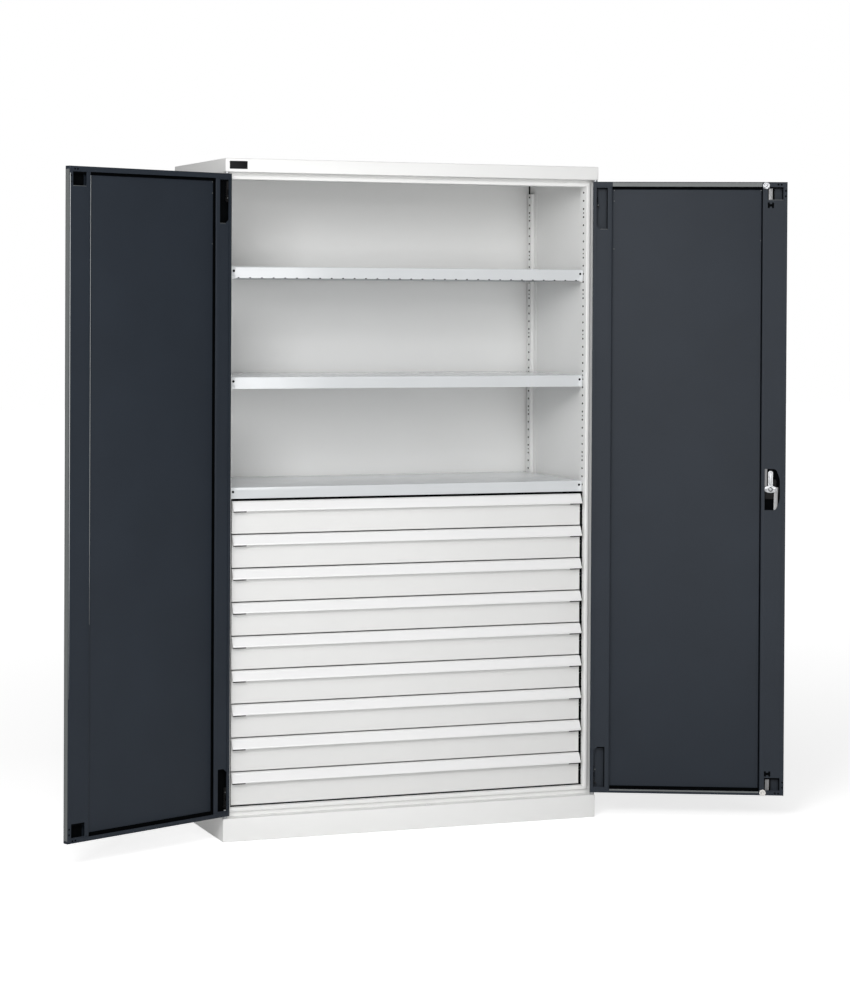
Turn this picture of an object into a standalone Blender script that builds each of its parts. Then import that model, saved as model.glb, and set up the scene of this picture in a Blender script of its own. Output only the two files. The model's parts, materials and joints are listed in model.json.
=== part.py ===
"""Two-door workshop cabinet with nine drawers, three shelves and a three-point lock.

Metres, +Z up. The origin lies on the floor in the middle of the carcass's footprint, and the doors open
towards -Y. Both doors stand open at their hinge stops, the drawers are shut and the lock is undone.
"""

import math

import bmesh
import bpy
from mathutils import Vector

# Overall sizes of the carcass
WIDTH = 1.190
DEPTH = 0.560
HEIGHT = 2.000
PLINTH_HEIGHT = 0.069
CAP_HEIGHT = 0.040

# Sheet thicknesses
FRAME_SHEET = 0.0015
SIDE_SHEET = 0.0010
BACK_SHEET = 0.0010
SHELF_SHEET = 0.0010
DOOR_SHEET = 0.0012
DRAWER_SHEET = 0.0010

# Clearances, and the overrun of every cut
SEAT_GAP = 0.0003
RUNNING_GAP = 0.0005
CUT_OVERRUN = 0.002

# Front frame: a rebate for the doors, then a raised lip round the mouth, then a perforated return
REBATE_SETBACK = 0.034
LIP_SETBACK = 0.024
LIP_WIDTH = 0.0115
REBATE_SIDE = 0.0165
REBATE_BOTTOM = 0.0145
REBATE_TOP = 0.0085
RETURN_DEPTH = 0.048
RETURN_HEM = 0.009

# Plinth and cap flanges, and the back panel between them
PLINTH_FRONT_FLANGE = 0.080
PLINTH_SIDE_FLANGE = 0.030
PLINTH_REAR_FLANGE = 0.065
FOOT_WIDTH = 0.040
CROSS_RAIL_WIDTH = 0.060
CROSS_RAIL_HEIGHT = 0.060
BACK_RECESS = 0.054
BACK_FLANGE = 0.030
CAP_REAR_LAP = 0.006

# Back posts
POST_BACK_GAP = 0.016
POST_WIDTH = 0.029
POST_FLANGE = 0.021
POST_TOP_GAP = 0.007

# Shelves and the clips that carry their corners
LOWER_SHELF_RISE = 0.040
UPPER_SHELF_DROP = 0.255
SHELF_LIP = 0.035
SHELF_FRONT = 0.045
SHELF_BACK_GAP = 0.006
SHELF_END_GAP = 0.002
CLIP_SHEET = 0.002
CLIP_REACH = 0.012
CLIP_LENGTH = 0.022
CLIP_FRONT_GAP = 0.003
CLIP_POST_GAP = 0.004

# Drawers
DRAWER_COUNT = 9
DRAWER_PITCH = 0.100
DRAWER_GAP = 0.0035
DRAWER_FRONT = 0.044
DRAWER_BACK_GAP = 0.036
DRAWER_END_GAP = 0.008
FRONT_RETURN = 0.012
TRAY_SIDE_GAP = 0.007
TRAY_TOP_DROP = 0.014
TRAY_FLOOR_RISE = 0.003
RUNNER_HEIGHT = 0.008
RUNNER_REACH = 0.0115
RUNNER_DROP = 0.046
RUNNER_FRONT = 0.060
RACK_REACH = 0.0085
RACK_FRONT = 0.058
RACK_BACK_GAP = 0.014
RACK_FOOT = 0.003
RACK_UPRIGHT = 0.030
RACK_BAR = 0.014

# Drawer grips
GRIP_HEIGHT = 0.028
GRIP_REACH = 0.019
GRIP_SHOULDER_REACH = 0.006
GRIP_SHOULDER_DROP = 0.003
GRIP_EDGE = 0.002
GRIP_SHEET = 0.002
GRIP_ROOT = 0.0045

# Doors, in the closed pose: across from the hinge axis, and back from the cabinet's front plane
DOOR_THICKNESS = 0.021
DOOR_BOTTOM_GAP = 0.0083
DOOR_TOP_GAP = 0.0053
DOOR_MEETING_GAP = 0.005
DOOR_OPEN_DEGREES = 155.4
HINGE_INSET = 0.007
HEM_HINGE = 0.011
HEM_EDGE = 0.010
HEM_TOP = 0.0149
HEM_BOTTOM = 0.0122
HINGE_STILE_WIDTH = 0.059
HINGE_STILE_LIP = 0.0025
LOCK_STILE_WIDTH = 0.0745
LINER_SHEET = 0.0008
LINER_SETBACK = 0.0124
LINER_SIDE_GAP = 0.0028
LINER_END_GAP = 0.008

# Pivot pins
PIN_RADIUS = 0.004
PIN_HOLE_RADIUS = 0.0045
PIN_REACH = 0.018
PIN_COLLAR_RADIUS = 0.0065

# Windows in the stiles, by their distance from the hinge axis or from the door's edges
HINGE_WINDOW_LEFT = 0.0045
HINGE_WINDOW_RIGHT = 0.038
HINGE_WINDOW_TALL = 0.127
HINGE_WINDOW_TOP_GAP = 0.0183
HINGE_WINDOW_LOW_TALL = 0.1233
HINGE_WINDOW_BOTTOM_GAP = 0.0174
HINGE_WINDOW_CHAMFER = 0.011
CORNER_WINDOW_WIDE = 0.047
CORNER_WINDOW_EDGE_GAP = 0.0125
CORNER_WINDOW_TALL = 0.0384
CORNER_WINDOW_END_GAP = 0.0155

# Lock
LOCK_EDGE_GAP = 0.0454
LOCK_HEIGHT = 1.0155
LOCK_WINDOW_LEFT = 0.0182
LOCK_WINDOW_RIGHT = 0.0283
LOCK_WINDOW_NECK = 0.0169
LOCK_WINDOW_UP = 0.0625
LOCK_WINDOW_DOWN = 0.0635
LOCK_WINDOW_BULGE = 0.030
CASE_LEFT = 0.018
CASE_RIGHT = 0.018
CASE_UP = 0.030
CASE_DOWN = 0.031
CASE_DEPTH = 0.0066
CAM_WIDE = 0.044
CAM_TALL = 0.026
CAM_DEPTH = 0.003
CAM_CORNER = 0.008
CAM_PIN_RADIUS = 0.017
TONGUE_LENGTH = 0.056
TONGUE_WIDTH = 0.016
EDGE_SLOT_WIDE = 0.007
EDGE_SLOT_BACK = 0.007
EDGE_SLOT_UP = 0.0615
EDGE_SLOT_DOWN = 0.0585

# Lock rods and their keeper slots
ROD_WIDTH = 0.012
ROD_DEPTH = 0.003
ROD_EDGE_GAP = 0.0505
ROD_TIP_WIDTH = 0.008
ROD_TIP_TAPER = 0.016
ROD_TIP_REST_GAP = 0.0017
ROD_CAM_LAP = 0.006
ROD_SLOT_WIDE = 0.016
ROD_SLOT_DEEP = 0.006
KEEPER_WIDE = 0.016
KEEPER_FRONT = 0.010
KEEPER_REAR = 0.024

# Turning grip on the outside of the right door
KNOB_BASE_RADIUS = 0.024
KNOB_BASE_DEPTH = 0.003
KNOB_NECK_RADIUS = 0.009
KNOB_NECK_DEPTH = 0.008
KNOB_LENGTH = 0.088
KNOB_WIDTH = 0.026
KNOB_DEPTH = 0.018
KNOB_BEVEL = 0.004
SPINDLE_RADIUS = 0.005
SPINDLE_HOLE_RADIUS = 0.007
PLUG_RADIUS = 0.006
PLUG_DEPTH = 0.012
PLUG_PROUD = 0.001
KEYWAY_WIDE = 0.002
KEYWAY_TALL = 0.008
KEYWAY_DEEP = 0.006

# Magnet and buffer near the right door's free edge
MAGNET_RADIUS = 0.0105
BUFFER_RADIUS = 0.010
DISC_DEPTH = 0.0024
DISC_EDGE_GAP = 0.064
MAGNET_TOP_GAP = 0.0111
BUFFER_BOTTOM_GAP = 0.0081

# Label plate on the cap
PLATE_WIDTH = 0.054
PLATE_HEIGHT = 0.023
PLATE_DEPTH = 0.001
PLATE_SIDE_GAP = 0.0125
PLATE_TOP_GAP = 0.008

# Facets on round shapes
ROUND_STEPS = 24
END_ARC_STEPS = 6

# Places that several pieces share
WALL_INNER = WIDTH / 2 - REBATE_SIDE + SEAT_GAP
MOUTH_HALF = WIDTH / 2 - REBATE_SIDE - LIP_WIDTH
MOUTH_BOTTOM = PLINTH_HEIGHT + REBATE_BOTTOM + LIP_WIDTH
CAP_BOTTOM = HEIGHT - CAP_HEIGHT
MOUTH_TOP = CAP_BOTTOM - REBATE_TOP - LIP_WIDTH
RETURN_BACK = LIP_SETBACK + RETURN_DEPTH
BACK_FRONT = DEPTH - BACK_RECESS
POST_BACK = BACK_FRONT - POST_BACK_GAP
POST_FRONT = POST_BACK - POST_WIDTH
BANK_TOP = MOUTH_BOTTOM + DRAWER_COUNT * DRAWER_PITCH
LOWER_SHELF_TOP = BANK_TOP + LOWER_SHELF_RISE
UPPER_SHELF_TOP = MOUTH_TOP - UPPER_SHELF_DROP
MIDDLE_SHELF_TOP = (UPPER_SHELF_TOP + LOWER_SHELF_TOP) / 2
SHELF_TOPS = (UPPER_SHELF_TOP, MIDDLE_SHELF_TOP, LOWER_SHELF_TOP)
DOOR_LOW = PLINTH_HEIGHT + DOOR_BOTTOM_GAP
DOOR_HIGH = CAP_BOTTOM - DOOR_TOP_GAP
HINGE_X = WIDTH / 2 - HINGE_INSET
DOOR_REACH = HINGE_X - DOOR_MEETING_GAP / 2
DOOR_OUTER = -HINGE_INSET
DOOR_INNER = DOOR_THICKNESS - HINGE_INSET
STILE_FACE = DOOR_INNER - DOOR_SHEET - SEAT_GAP
SKIN_INNER = DOOR_OUTER + DOOR_SHEET
LOCK_REACH = DOOR_REACH - LOCK_EDGE_GAP
ROD_REACH = DOOR_REACH - ROD_EDGE_GAP
CASE_BACK = SKIN_INNER + SEAT_GAP + CASE_DEPTH
CAM_FRONT = CASE_BACK + RUNNING_GAP
CAM_BACK = CAM_FRONT + CAM_DEPTH
ROD_FRONT = CAM_BACK + RUNNING_GAP
ROD_BACK = ROD_FRONT + ROD_DEPTH


def clear_scene():
    """Remove whatever the new file holds."""
    for item in list(bpy.data.objects):
        bpy.data.objects.remove(item)


def paint(name, colour, roughness, metallic):
    """A material with one Principled BSDF."""
    material = bpy.data.materials.new(name)
    material.use_nodes = True
    shader = material.node_tree.nodes["Principled BSDF"]
    shader.inputs["Base Color"].default_value = (*colour, 1.0)
    shader.inputs["Roughness"].default_value = roughness
    shader.inputs["Metallic"].default_value = metallic
    return material


def empty(name, location, parent=None):
    """An empty that carries other objects, such as one on a hinge axis."""
    holder = bpy.data.objects.new(name, None)
    holder.location = location
    holder.parent = parent
    bpy.context.collection.objects.link(holder)
    return holder


def solid(name, points, faces, material, parent):
    """An object from points and faces, with its faces turned outwards."""
    mesh = bpy.data.meshes.new(name)
    build = bmesh.new()
    corners = [build.verts.new(point) for point in points]
    for face in faces:
        build.faces.new([corners[index] for index in face])
    bmesh.ops.recalc_face_normals(build, faces=build.faces)
    build.to_mesh(mesh)
    build.free()
    mesh.materials.append(material)
    piece = bpy.data.objects.new(name, mesh)
    piece.parent = parent
    bpy.context.collection.objects.link(piece)
    return piece


def place(axis, first, second, along):
    """A point from two coordinates in a section and one along the axis that the section crosses."""
    if axis == "X":
        return (along, first, second)
    if axis == "Y":
        return (first, along, second)
    return (first, second, along)


def prism(name, outline, low, high, axis, material, parent):
    """A closed outline carried along an axis from low to high."""
    count = len(outline)
    points = [place(axis, *point, low) for point in outline]
    points += [place(axis, *point, high) for point in outline]
    faces = [list(range(count)), list(range(count, 2 * count))]
    for index in range(count):
        after = (index + 1) % count
        faces.append([index, after, after + count, index + count])
    return solid(name, points, faces, material, parent)


def block(name, low, high, material, parent):
    """A plain block between two corners."""
    outline = [(low[0], low[1]), (high[0], low[1]), (high[0], high[1]), (low[0], high[1])]
    return prism(name, outline, low[2], high[2], "Z", material, parent)


def fold(path, thickness):
    """The outline of a bent sheet. The path is one face, and the other lies on its right-hand side."""
    steps = [(Vector(b) - Vector(a)).normalized() for a, b in zip(path, path[1:])]
    sides = [Vector((step.y, -step.x)) for step in steps]
    shifts = [sides[0]]
    for before, after in zip(sides, sides[1:]):
        shifts.append((before + after) / (1 + before.dot(after)))
    shifts.append(sides[-1])
    far = [Vector(point) + shift * thickness for point, shift in zip(path, shifts)]
    return [tuple(point) for point in path] + [tuple(point) for point in reversed(far)]


def sweep(name, start, end, material, parent):
    """A bent sheet between two end sections, each listed the way fold lists its outline."""
    count = len(start)
    faces = []
    for index in range(count):
        after = (index + 1) % count
        faces.append([index, after, after + count, index + count])
    for index in range(count // 2 - 1):
        across = count - 1 - index
        for offset in (0, count):
            faces.append([index + offset, index + 1 + offset, across - 1 + offset, across + offset])
    return solid(name, list(start) + list(end), faces, material, parent)


def channel(name, path, thickness, low, high, axis, material, parent):
    """A straight folded profile along an axis."""
    outline = fold(path, thickness)
    start = [place(axis, *point, low) for point in outline]
    end = [place(axis, *point, high) for point in outline]
    return sweep(name, start, end, material, parent)


def nest(name, loops, axis, filled, material, parent):
    """Rectangular loops joined one after another: a pan where the ends are filled, else a ring."""
    points = []
    for first_low, first_high, second_low, second_high, along in loops:
        points.append(place(axis, first_low, second_low, along))
        points.append(place(axis, first_high, second_low, along))
        points.append(place(axis, first_high, second_high, along))
        points.append(place(axis, first_low, second_high, along))
    last = len(loops) - 1
    pairs = [(index, index + 1) for index in range(last)]
    faces = []
    if filled:
        faces += [list(range(4)), list(range(4 * last, 4 * last + 4))]
    else:
        pairs.append((last, 0))
    for here, there in pairs:
        for corner in range(4):
            after = (corner + 1) % 4
            faces.append([4 * here + corner, 4 * here + after, 4 * there + after, 4 * there + corner])
    return solid(name, points, faces, material, parent)


def inset(loop, amount, along):
    """The same rectangle drawn in on all four sides, at another height."""
    low_a, high_a, low_b, high_b, _ = loop
    return (low_a + amount, high_a - amount, low_b + amount, high_b - amount, along)


def turned(name, profile, centre, axis, material, parent):
    """A turned solid round an axis. The profile lists each radius with its place along the axis."""
    points = []
    for radius, along in profile:
        for step in range(ROUND_STEPS):
            angle = math.tau * step / ROUND_STEPS
            first = centre[0] + radius * math.cos(angle)
            second = centre[1] + radius * math.sin(angle)
            points.append(place(axis, first, second, along))
    last = len(profile) - 1
    faces = [list(range(ROUND_STEPS)), list(range(last * ROUND_STEPS, (last + 1) * ROUND_STEPS))]
    for ring in range(last):
        for step in range(ROUND_STEPS):
            here = ring * ROUND_STEPS + step
            beside = ring * ROUND_STEPS + (step + 1) % ROUND_STEPS
            faces.append([here, beside, beside + ROUND_STEPS, here + ROUND_STEPS])
    return solid(name, points, faces, material, parent)


def bake(piece):
    """Write a piece's modifiers into its mesh."""
    bpy.context.view_layer.update()
    graph = bpy.context.evaluated_depsgraph_get()
    mesh = bpy.data.meshes.new_from_object(piece.evaluated_get(graph))
    piece.modifiers.clear()
    piece.data = mesh


def combine(target, tools, operation):
    """Join tools to a solid or cut them out of it, then remove them."""
    for tool in tools:
        step = target.modifiers.new("Shape", "BOOLEAN")
        step.solver = "EXACT"
        step.operation = operation
        step.object = tool
    bake(target)
    for tool in tools:
        bpy.data.objects.remove(tool)
    return target


def round_off(piece):
    """Shade round faces smooth and leave real edges sharp."""
    piece.data.shade_smooth()
    piece.data.set_sharp_from_angle(angle=math.radians(30))
    return piece


def make_materials():
    """Every finish by name."""
    return {
        "white": paint("white_paint", (0.83, 0.83, 0.82), 0.45, 0.0),
        "dark": paint("dark_paint", (0.036, 0.042, 0.052), 0.5, 0.0),
        "zinc": paint("zinc_sheet", (0.62, 0.63, 0.64), 0.4, 0.8),
        "grip": paint("grip_paint", (0.92, 0.92, 0.92), 0.4, 0.0),
        "steel": paint("bright_steel", (0.55, 0.56, 0.58), 0.35, 1.0),
        "black": paint("black_plastic", (0.02, 0.02, 0.02), 0.5, 0.0),
    }


def plinth(finish, cabinet):
    """The floor ring: a C section all round, and a cross rail under the bottom panel."""
    outer = (-WIDTH / 2, WIDTH / 2, 0, DEPTH)
    flange = (
        -WIDTH / 2 + PLINTH_SIDE_FLANGE,
        WIDTH / 2 - PLINTH_SIDE_FLANGE,
        PLINTH_FRONT_FLANGE,
        DEPTH - PLINTH_REAR_FLANGE,
    )
    wall = inset((*outer, 0), FRAME_SHEET, FRAME_SHEET)[:4]
    foot = inset((*outer, 0), FOOT_WIDTH, 0)[:4]
    under_flange = PLINTH_HEIGHT - FRAME_SHEET
    loops = [
        (*outer, 0),
        (*outer, PLINTH_HEIGHT),
        (*flange, PLINTH_HEIGHT),
        (*flange, under_flange),
        (*wall, under_flange),
        (*wall, FRAME_SHEET),
        (*foot, FRAME_SHEET),
        (*foot, 0),
    ]
    ring = nest("plinth", loops, "Z", False, finish["white"], cabinet)
    half = CROSS_RAIL_WIDTH / 2
    path = [(-half, CROSS_RAIL_HEIGHT), (-half, 0), (half, 0), (half, CROSS_RAIL_HEIGHT)]
    rail_front = FRAME_SHEET / 2
    rail_back = DEPTH - FRAME_SHEET / 2
    rail = channel("rail", path[::-1], FRAME_SHEET, rail_front, rail_back, "Y", finish["white"], cabinet)
    combine(ring, [rail], "UNION")
    return combine(ring, [keeper_cutter(finish, cabinet, under_flange, PLINTH_HEIGHT)], "DIFFERENCE")


def keeper_cutter(finish, cabinet, low, high):
    """The slot that a lock rod enters, through a flange between two heights."""
    centre = HINGE_X - ROD_REACH
    start = (centre - KEEPER_WIDE / 2, KEEPER_FRONT, low - CUT_OVERRUN)
    end = (centre + KEEPER_WIDE / 2, KEEPER_REAR, high + CUT_OVERRUN)
    return block("keeper", start, end, finish["white"], cabinet)


def cap(finish, cabinet):
    """The roof: a pan turned down at its rim, with a flange turned in along the bottom."""
    outer = (-WIDTH / 2, WIDTH / 2, 0, DEPTH)
    flange = (-WALL_INNER, WALL_INNER, RETURN_BACK, BACK_FRONT - CAP_REAR_LAP)
    wall = inset((*outer, 0), FRAME_SHEET, 0)[:4]
    over_flange = CAP_BOTTOM + FRAME_SHEET
    loops = [
        (*outer, HEIGHT),
        (*outer, CAP_BOTTOM),
        (*flange, CAP_BOTTOM),
        (*flange, over_flange),
        (*wall, over_flange),
        (*wall, HEIGHT - FRAME_SHEET),
    ]
    pan = nest("cap", loops, "Z", True, finish["white"], cabinet)
    return combine(pan, [keeper_cutter(finish, cabinet, CAP_BOTTOM, over_flange)], "DIFFERENCE")


def frame_section(rebate):
    """The front frame's outline: distance out from the mouth, and distance back from the front."""
    path = [
        (LIP_WIDTH + rebate, REBATE_SETBACK),
        (LIP_WIDTH, REBATE_SETBACK),
        (LIP_WIDTH, LIP_SETBACK),
        (0, LIP_SETBACK),
        (0, RETURN_BACK),
        (RETURN_HEM, RETURN_BACK),
    ]
    return fold(path, FRAME_SHEET)


def shelf_clips(sign, front, finish, cabinet):
    """Ledges hooked into one upright, each under a corner of a shelf."""
    near, far = sorted((sign * (MOUTH_HALF - CLIP_REACH), sign * (MOUTH_HALF + FRAME_SHEET / 2)))
    clips = []
    for top in SHELF_TOPS:
        ledge = top - SHELF_LIP - SEAT_GAP
        low = (near, front, ledge - CLIP_SHEET)
        high = (far, front + CLIP_LENGTH, ledge)
        clips.append(block("clip", low, high, finish["white"], cabinet))
    return clips


def front_frame(finish, cabinet):
    """Four members with mitred corners round the mouth."""
    side = frame_section(REBATE_SIDE)
    base = frame_section(REBATE_BOTTOM - SEAT_GAP)
    head = frame_section(REBATE_TOP - SEAT_GAP)

    def corner(sign, top, slip):
        """One mitred end section. Slip draws a rail's end back from the jamb."""
        points = []
        for across, upright in zip(side, head if top else base):
            height = MOUTH_TOP + upright[0] if top else MOUTH_BOTTOM - upright[0]
            points.append((sign * (MOUTH_HALF + across[0] - slip), across[1], height))
        return points

    white = finish["white"]
    for name, sign in (("left_jamb", -1), ("right_jamb", 1)):
        jamb = sweep(name, corner(sign, False, 0), corner(sign, True, 0), white, cabinet)
        clips = shelf_clips(sign, SHELF_FRONT + CLIP_FRONT_GAP, finish, cabinet)
        combine(jamb, clips, "UNION")
    sweep("bottom_rail", corner(-1, False, SEAT_GAP), corner(1, False, SEAT_GAP), white, cabinet)
    sweep("top_rail", corner(-1, True, SEAT_GAP), corner(1, True, SEAT_GAP), white, cabinet)


def sides(finish, cabinet):
    """Double-skinned side walls, open at their top and bottom ends."""
    front = REBATE_SETBACK + FRAME_SHEET + SEAT_GAP
    low = PLINTH_HEIGHT + SEAT_GAP
    high = CAP_BOTTOM - SEAT_GAP
    for name, sign in (("left_side", -1), ("right_side", 1)):
        near, far = sorted((sign * WALL_INNER, sign * WIDTH / 2))
        outer = (near, far, front, DEPTH, low)
        loops = [
            outer,
            (*outer[:4], high),
            inset(outer, SIDE_SHEET, high),
            inset(outer, SIDE_SHEET, low),
        ]
        nest(name, loops, "Z", False, finish["white"], cabinet)


def back_and_bottom(finish, cabinet):
    """The back panel with its edges turned back, and the bottom panel with its edges turned down."""
    half = WALL_INNER - SEAT_GAP
    low = PLINTH_HEIGHT + SEAT_GAP
    high = CAP_BOTTOM - SEAT_GAP
    face = (-half, half, low, high, BACK_FRONT)
    flange_end = BACK_FRONT + BACK_FLANGE
    back_loops = [
        face,
        (*face[:4], flange_end),
        inset(face, BACK_SHEET, flange_end),
        inset(face, BACK_SHEET, BACK_FRONT + BACK_SHEET),
    ]
    nest("back_panel", back_loops, "Y", True, finish["white"], cabinet)
    outer = (-half, half, RETURN_BACK + SEAT_GAP, BACK_FRONT - SEAT_GAP, MOUTH_BOTTOM)
    loops = [
        outer,
        (*outer[:4], low),
        inset(outer, FRAME_SHEET, low),
        inset(outer, FRAME_SHEET, MOUTH_BOTTOM - FRAME_SHEET),
    ]
    nest("bottom_panel", loops, "Z", True, finish["white"], cabinet)


def back_posts(finish, cabinet):
    """Perforated posts near the back, with a flange forward and one back on the side wall."""
    depth = LIP_WIDTH - FRAME_SHEET
    flange_back = BACK_FRONT - SEAT_GAP
    low = MOUTH_BOTTOM + SEAT_GAP
    high = MOUTH_TOP - POST_TOP_GAP
    for name, sign in (("left_post", -1), ("right_post", 1)):
        path = [
            (sign * (MOUTH_HALF + depth), POST_FRONT - POST_FLANGE),
            (sign * (MOUTH_HALF + depth), POST_FRONT),
            (sign * MOUTH_HALF, POST_FRONT),
            (sign * MOUTH_HALF, POST_BACK),
            (sign * (MOUTH_HALF + depth), POST_BACK),
            (sign * (MOUTH_HALF + depth), flange_back),
        ]
        if sign < 0:
            path.reverse()
        post = channel(name, path, FRAME_SHEET, low, high, "Z", finish["white"], cabinet)
        clips = shelf_clips(sign, POST_FRONT + CLIP_POST_GAP, finish, cabinet)
        combine(post, clips, "UNION")


def shelves(finish, cabinet):
    """Three shelves turned down on all four sides."""
    half = MOUTH_HALF - SHELF_END_GAP
    for place_name, top in zip(("upper", "middle", "lower"), SHELF_TOPS):
        outer = (-half, half, SHELF_FRONT, BACK_FRONT - SHELF_BACK_GAP, top)
        lip_low = top - SHELF_LIP
        loops = [
            outer,
            (*outer[:4], lip_low),
            inset(outer, SHELF_SHEET, lip_low),
            inset(outer, SHELF_SHEET, top - SHELF_SHEET),
        ]
        nest(f"{place_name}_shelf", loops, "Z", True, finish["zinc"], cabinet)


def drawer_top(index):
    """The height of a drawer's top edge, counted from the top of the bank."""
    return BANK_TOP - index * DRAWER_PITCH


def runner_racks(finish, cabinet):
    """Two uprights on each side, joined by an angle bar under every drawer's runner."""
    outer = MOUTH_HALF - SEAT_GAP
    inner = outer - FRAME_SHEET
    tip = inner - RACK_REACH
    back = BACK_FRONT - RACK_BACK_GAP
    low = MOUTH_BOTTOM + RACK_FOOT
    high = BANK_TOP - RACK_FOOT
    for name, sign in (("left_runner_rack", -1), ("right_runner_rack", 1)):
        near, far = sorted((sign * inner, sign * outer))
        front_end = RACK_FRONT + RACK_UPRIGHT
        rack = block(name, (near, RACK_FRONT, low), (far, front_end, high), finish["zinc"], cabinet)
        rear = block("rack_rear", (near, back - RACK_UPRIGHT, low), (far, back, high), finish["zinc"], cabinet)
        bars = []
        for index in range(DRAWER_COUNT):
            ledge_top = drawer_top(index) - RUNNER_DROP - RUNNER_HEIGHT - RUNNING_GAP
            ledge_low = ledge_top - FRAME_SHEET
            bar_low = ledge_top - RACK_BAR
            outline = [
                (sign * outer, bar_low),
                (sign * inner, bar_low),
                (sign * inner, ledge_low),
                (sign * tip, ledge_low),
                (sign * tip, ledge_top),
                (sign * outer, ledge_top),
            ]
            bars.append(prism("rack_bar", outline, RACK_FRONT, back, "Y", finish["zinc"], cabinet))
        combine(rack, [rear, *bars], "UNION")


def drawer_tray(finish, holder):
    """A drawer's tray with its folded front and a runner on each side. Its top edge is at zero."""
    front_half = MOUTH_HALF - DRAWER_END_GAP
    low = -DRAWER_PITCH + DRAWER_GAP
    face = (-front_half, front_half, low, 0, 0)
    face_loops = [
        face,
        (*face[:4], FRONT_RETURN),
        inset(face, DRAWER_SHEET, FRONT_RETURN),
        inset(face, DRAWER_SHEET, DRAWER_SHEET),
    ]
    front = nest("drawer_front", face_loops, "Y", True, finish["white"], holder)
    half = front_half - TRAY_SIDE_GAP
    length = BACK_FRONT - DRAWER_BACK_GAP - DRAWER_FRONT
    floor = low + TRAY_FLOOR_RISE
    outer = (-half, half, DRAWER_SHEET / 2, length, floor)
    tray_loops = [
        outer,
        (*outer[:4], -TRAY_TOP_DROP),
        inset(outer, DRAWER_SHEET, -TRAY_TOP_DROP),
        inset(outer, DRAWER_SHEET, floor + DRAWER_SHEET),
    ]
    pan = nest("drawer_pan", tray_loops, "Z", True, finish["white"], holder)
    runners = []
    for sign in (-1, 1):
        near, far = sorted((sign * (half - DRAWER_SHEET / 2), sign * (half + RUNNER_REACH)))
        start = (near, RUNNER_FRONT - DRAWER_FRONT, -RUNNER_DROP - RUNNER_HEIGHT)
        end = (far, length, -RUNNER_DROP)
        runners.append(block("drawer_runner", start, end, finish["white"], holder))
    return combine(front, [pan, *runners], "UNION")


def drawer_grip(finish, holder):
    """The full-width grip: it slopes out from the drawer's top edge and stops short of the front."""
    low = -GRIP_HEIGHT
    inner = GRIP_REACH - GRIP_SHEET
    outline = [
        (-SEAT_GAP, 0),
        (-GRIP_SHOULDER_REACH, -GRIP_SHOULDER_DROP),
        (-GRIP_REACH, low + GRIP_EDGE),
        (-GRIP_REACH, low),
        (-inner, low),
        (-inner, low + GRIP_EDGE),
        (GRIP_SHEET - GRIP_SHOULDER_REACH, -GRIP_ROOT),
        (-SEAT_GAP, -GRIP_ROOT),
    ]
    half = MOUTH_HALF - DRAWER_END_GAP
    return prism("drawer_grip", outline, -half, half, "X", finish["grip"], holder)


def drawers(finish, cabinet):
    """Nine drawers that share one tray mesh and one grip mesh."""
    holder = empty("drawer_1", (0, DRAWER_FRONT, drawer_top(0)), cabinet)
    tray = drawer_tray(finish, holder)
    grip = drawer_grip(finish, holder)
    tray.name = "drawer_1_tray"
    grip.name = "drawer_1_grip"
    for number in range(2, DRAWER_COUNT + 1):
        holder = empty(f"drawer_{number}", (0, DRAWER_FRONT, drawer_top(number - 1)), cabinet)
        for first, part_name in ((tray, "tray"), (grip, "grip")):
            copy = bpy.data.objects.new(f"drawer_{number}_{part_name}", first.data)
            copy.parent = holder
            bpy.context.collection.objects.link(copy)


def label_plate(finish, cabinet):
    """A bare plate on the left of the cap's front."""
    left = -WIDTH / 2 + PLATE_SIDE_GAP
    top = HEIGHT - PLATE_TOP_GAP
    low = (left, -SEAT_GAP - PLATE_DEPTH, top - PLATE_HEIGHT)
    high = (left + PLATE_WIDTH, -SEAT_GAP, top)
    block("label_plate", low, high, finish["black"], cabinet)


def pivot_pins(finish, cabinet):
    """Pins that stand on the plinth and hang from the cap, each with a collar that carries the door."""
    lower = [
        (PIN_COLLAR_RADIUS, PLINTH_HEIGHT + SEAT_GAP),
        (PIN_COLLAR_RADIUS, DOOR_LOW - SEAT_GAP),
        (PIN_RADIUS, DOOR_LOW - SEAT_GAP),
        (PIN_RADIUS, DOOR_LOW + PIN_REACH),
    ]
    upper = [
        (PIN_COLLAR_RADIUS, CAP_BOTTOM - SEAT_GAP),
        (PIN_COLLAR_RADIUS, DOOR_HIGH + SEAT_GAP),
        (PIN_RADIUS, DOOR_HIGH + SEAT_GAP),
        (PIN_RADIUS, DOOR_HIGH - PIN_REACH),
    ]
    for side_name, sign in (("left", -1), ("right", 1)):
        centre = (sign * HINGE_X, HINGE_INSET)
        for end_name, profile in (("lower", lower), ("upper", upper)):
            name = f"{end_name}_{side_name}_hinge_pin"
            round_off(turned(name, profile, centre, "Z", finish["steel"], cabinet))


def door_prism(name, sign, outline, low, high, finish, pivot):
    """A prism through a door. Its outline gives the distance from the hinge axis and the height."""
    points = [(-sign * reach, height) for reach, height in outline]
    return prism(name, points, low, high, "Y", finish, pivot)


def rectangle(left, right, low, high):
    """Four corners of a rectangle."""
    return [(left, low), (right, low), (right, high), (left, high)]


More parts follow.
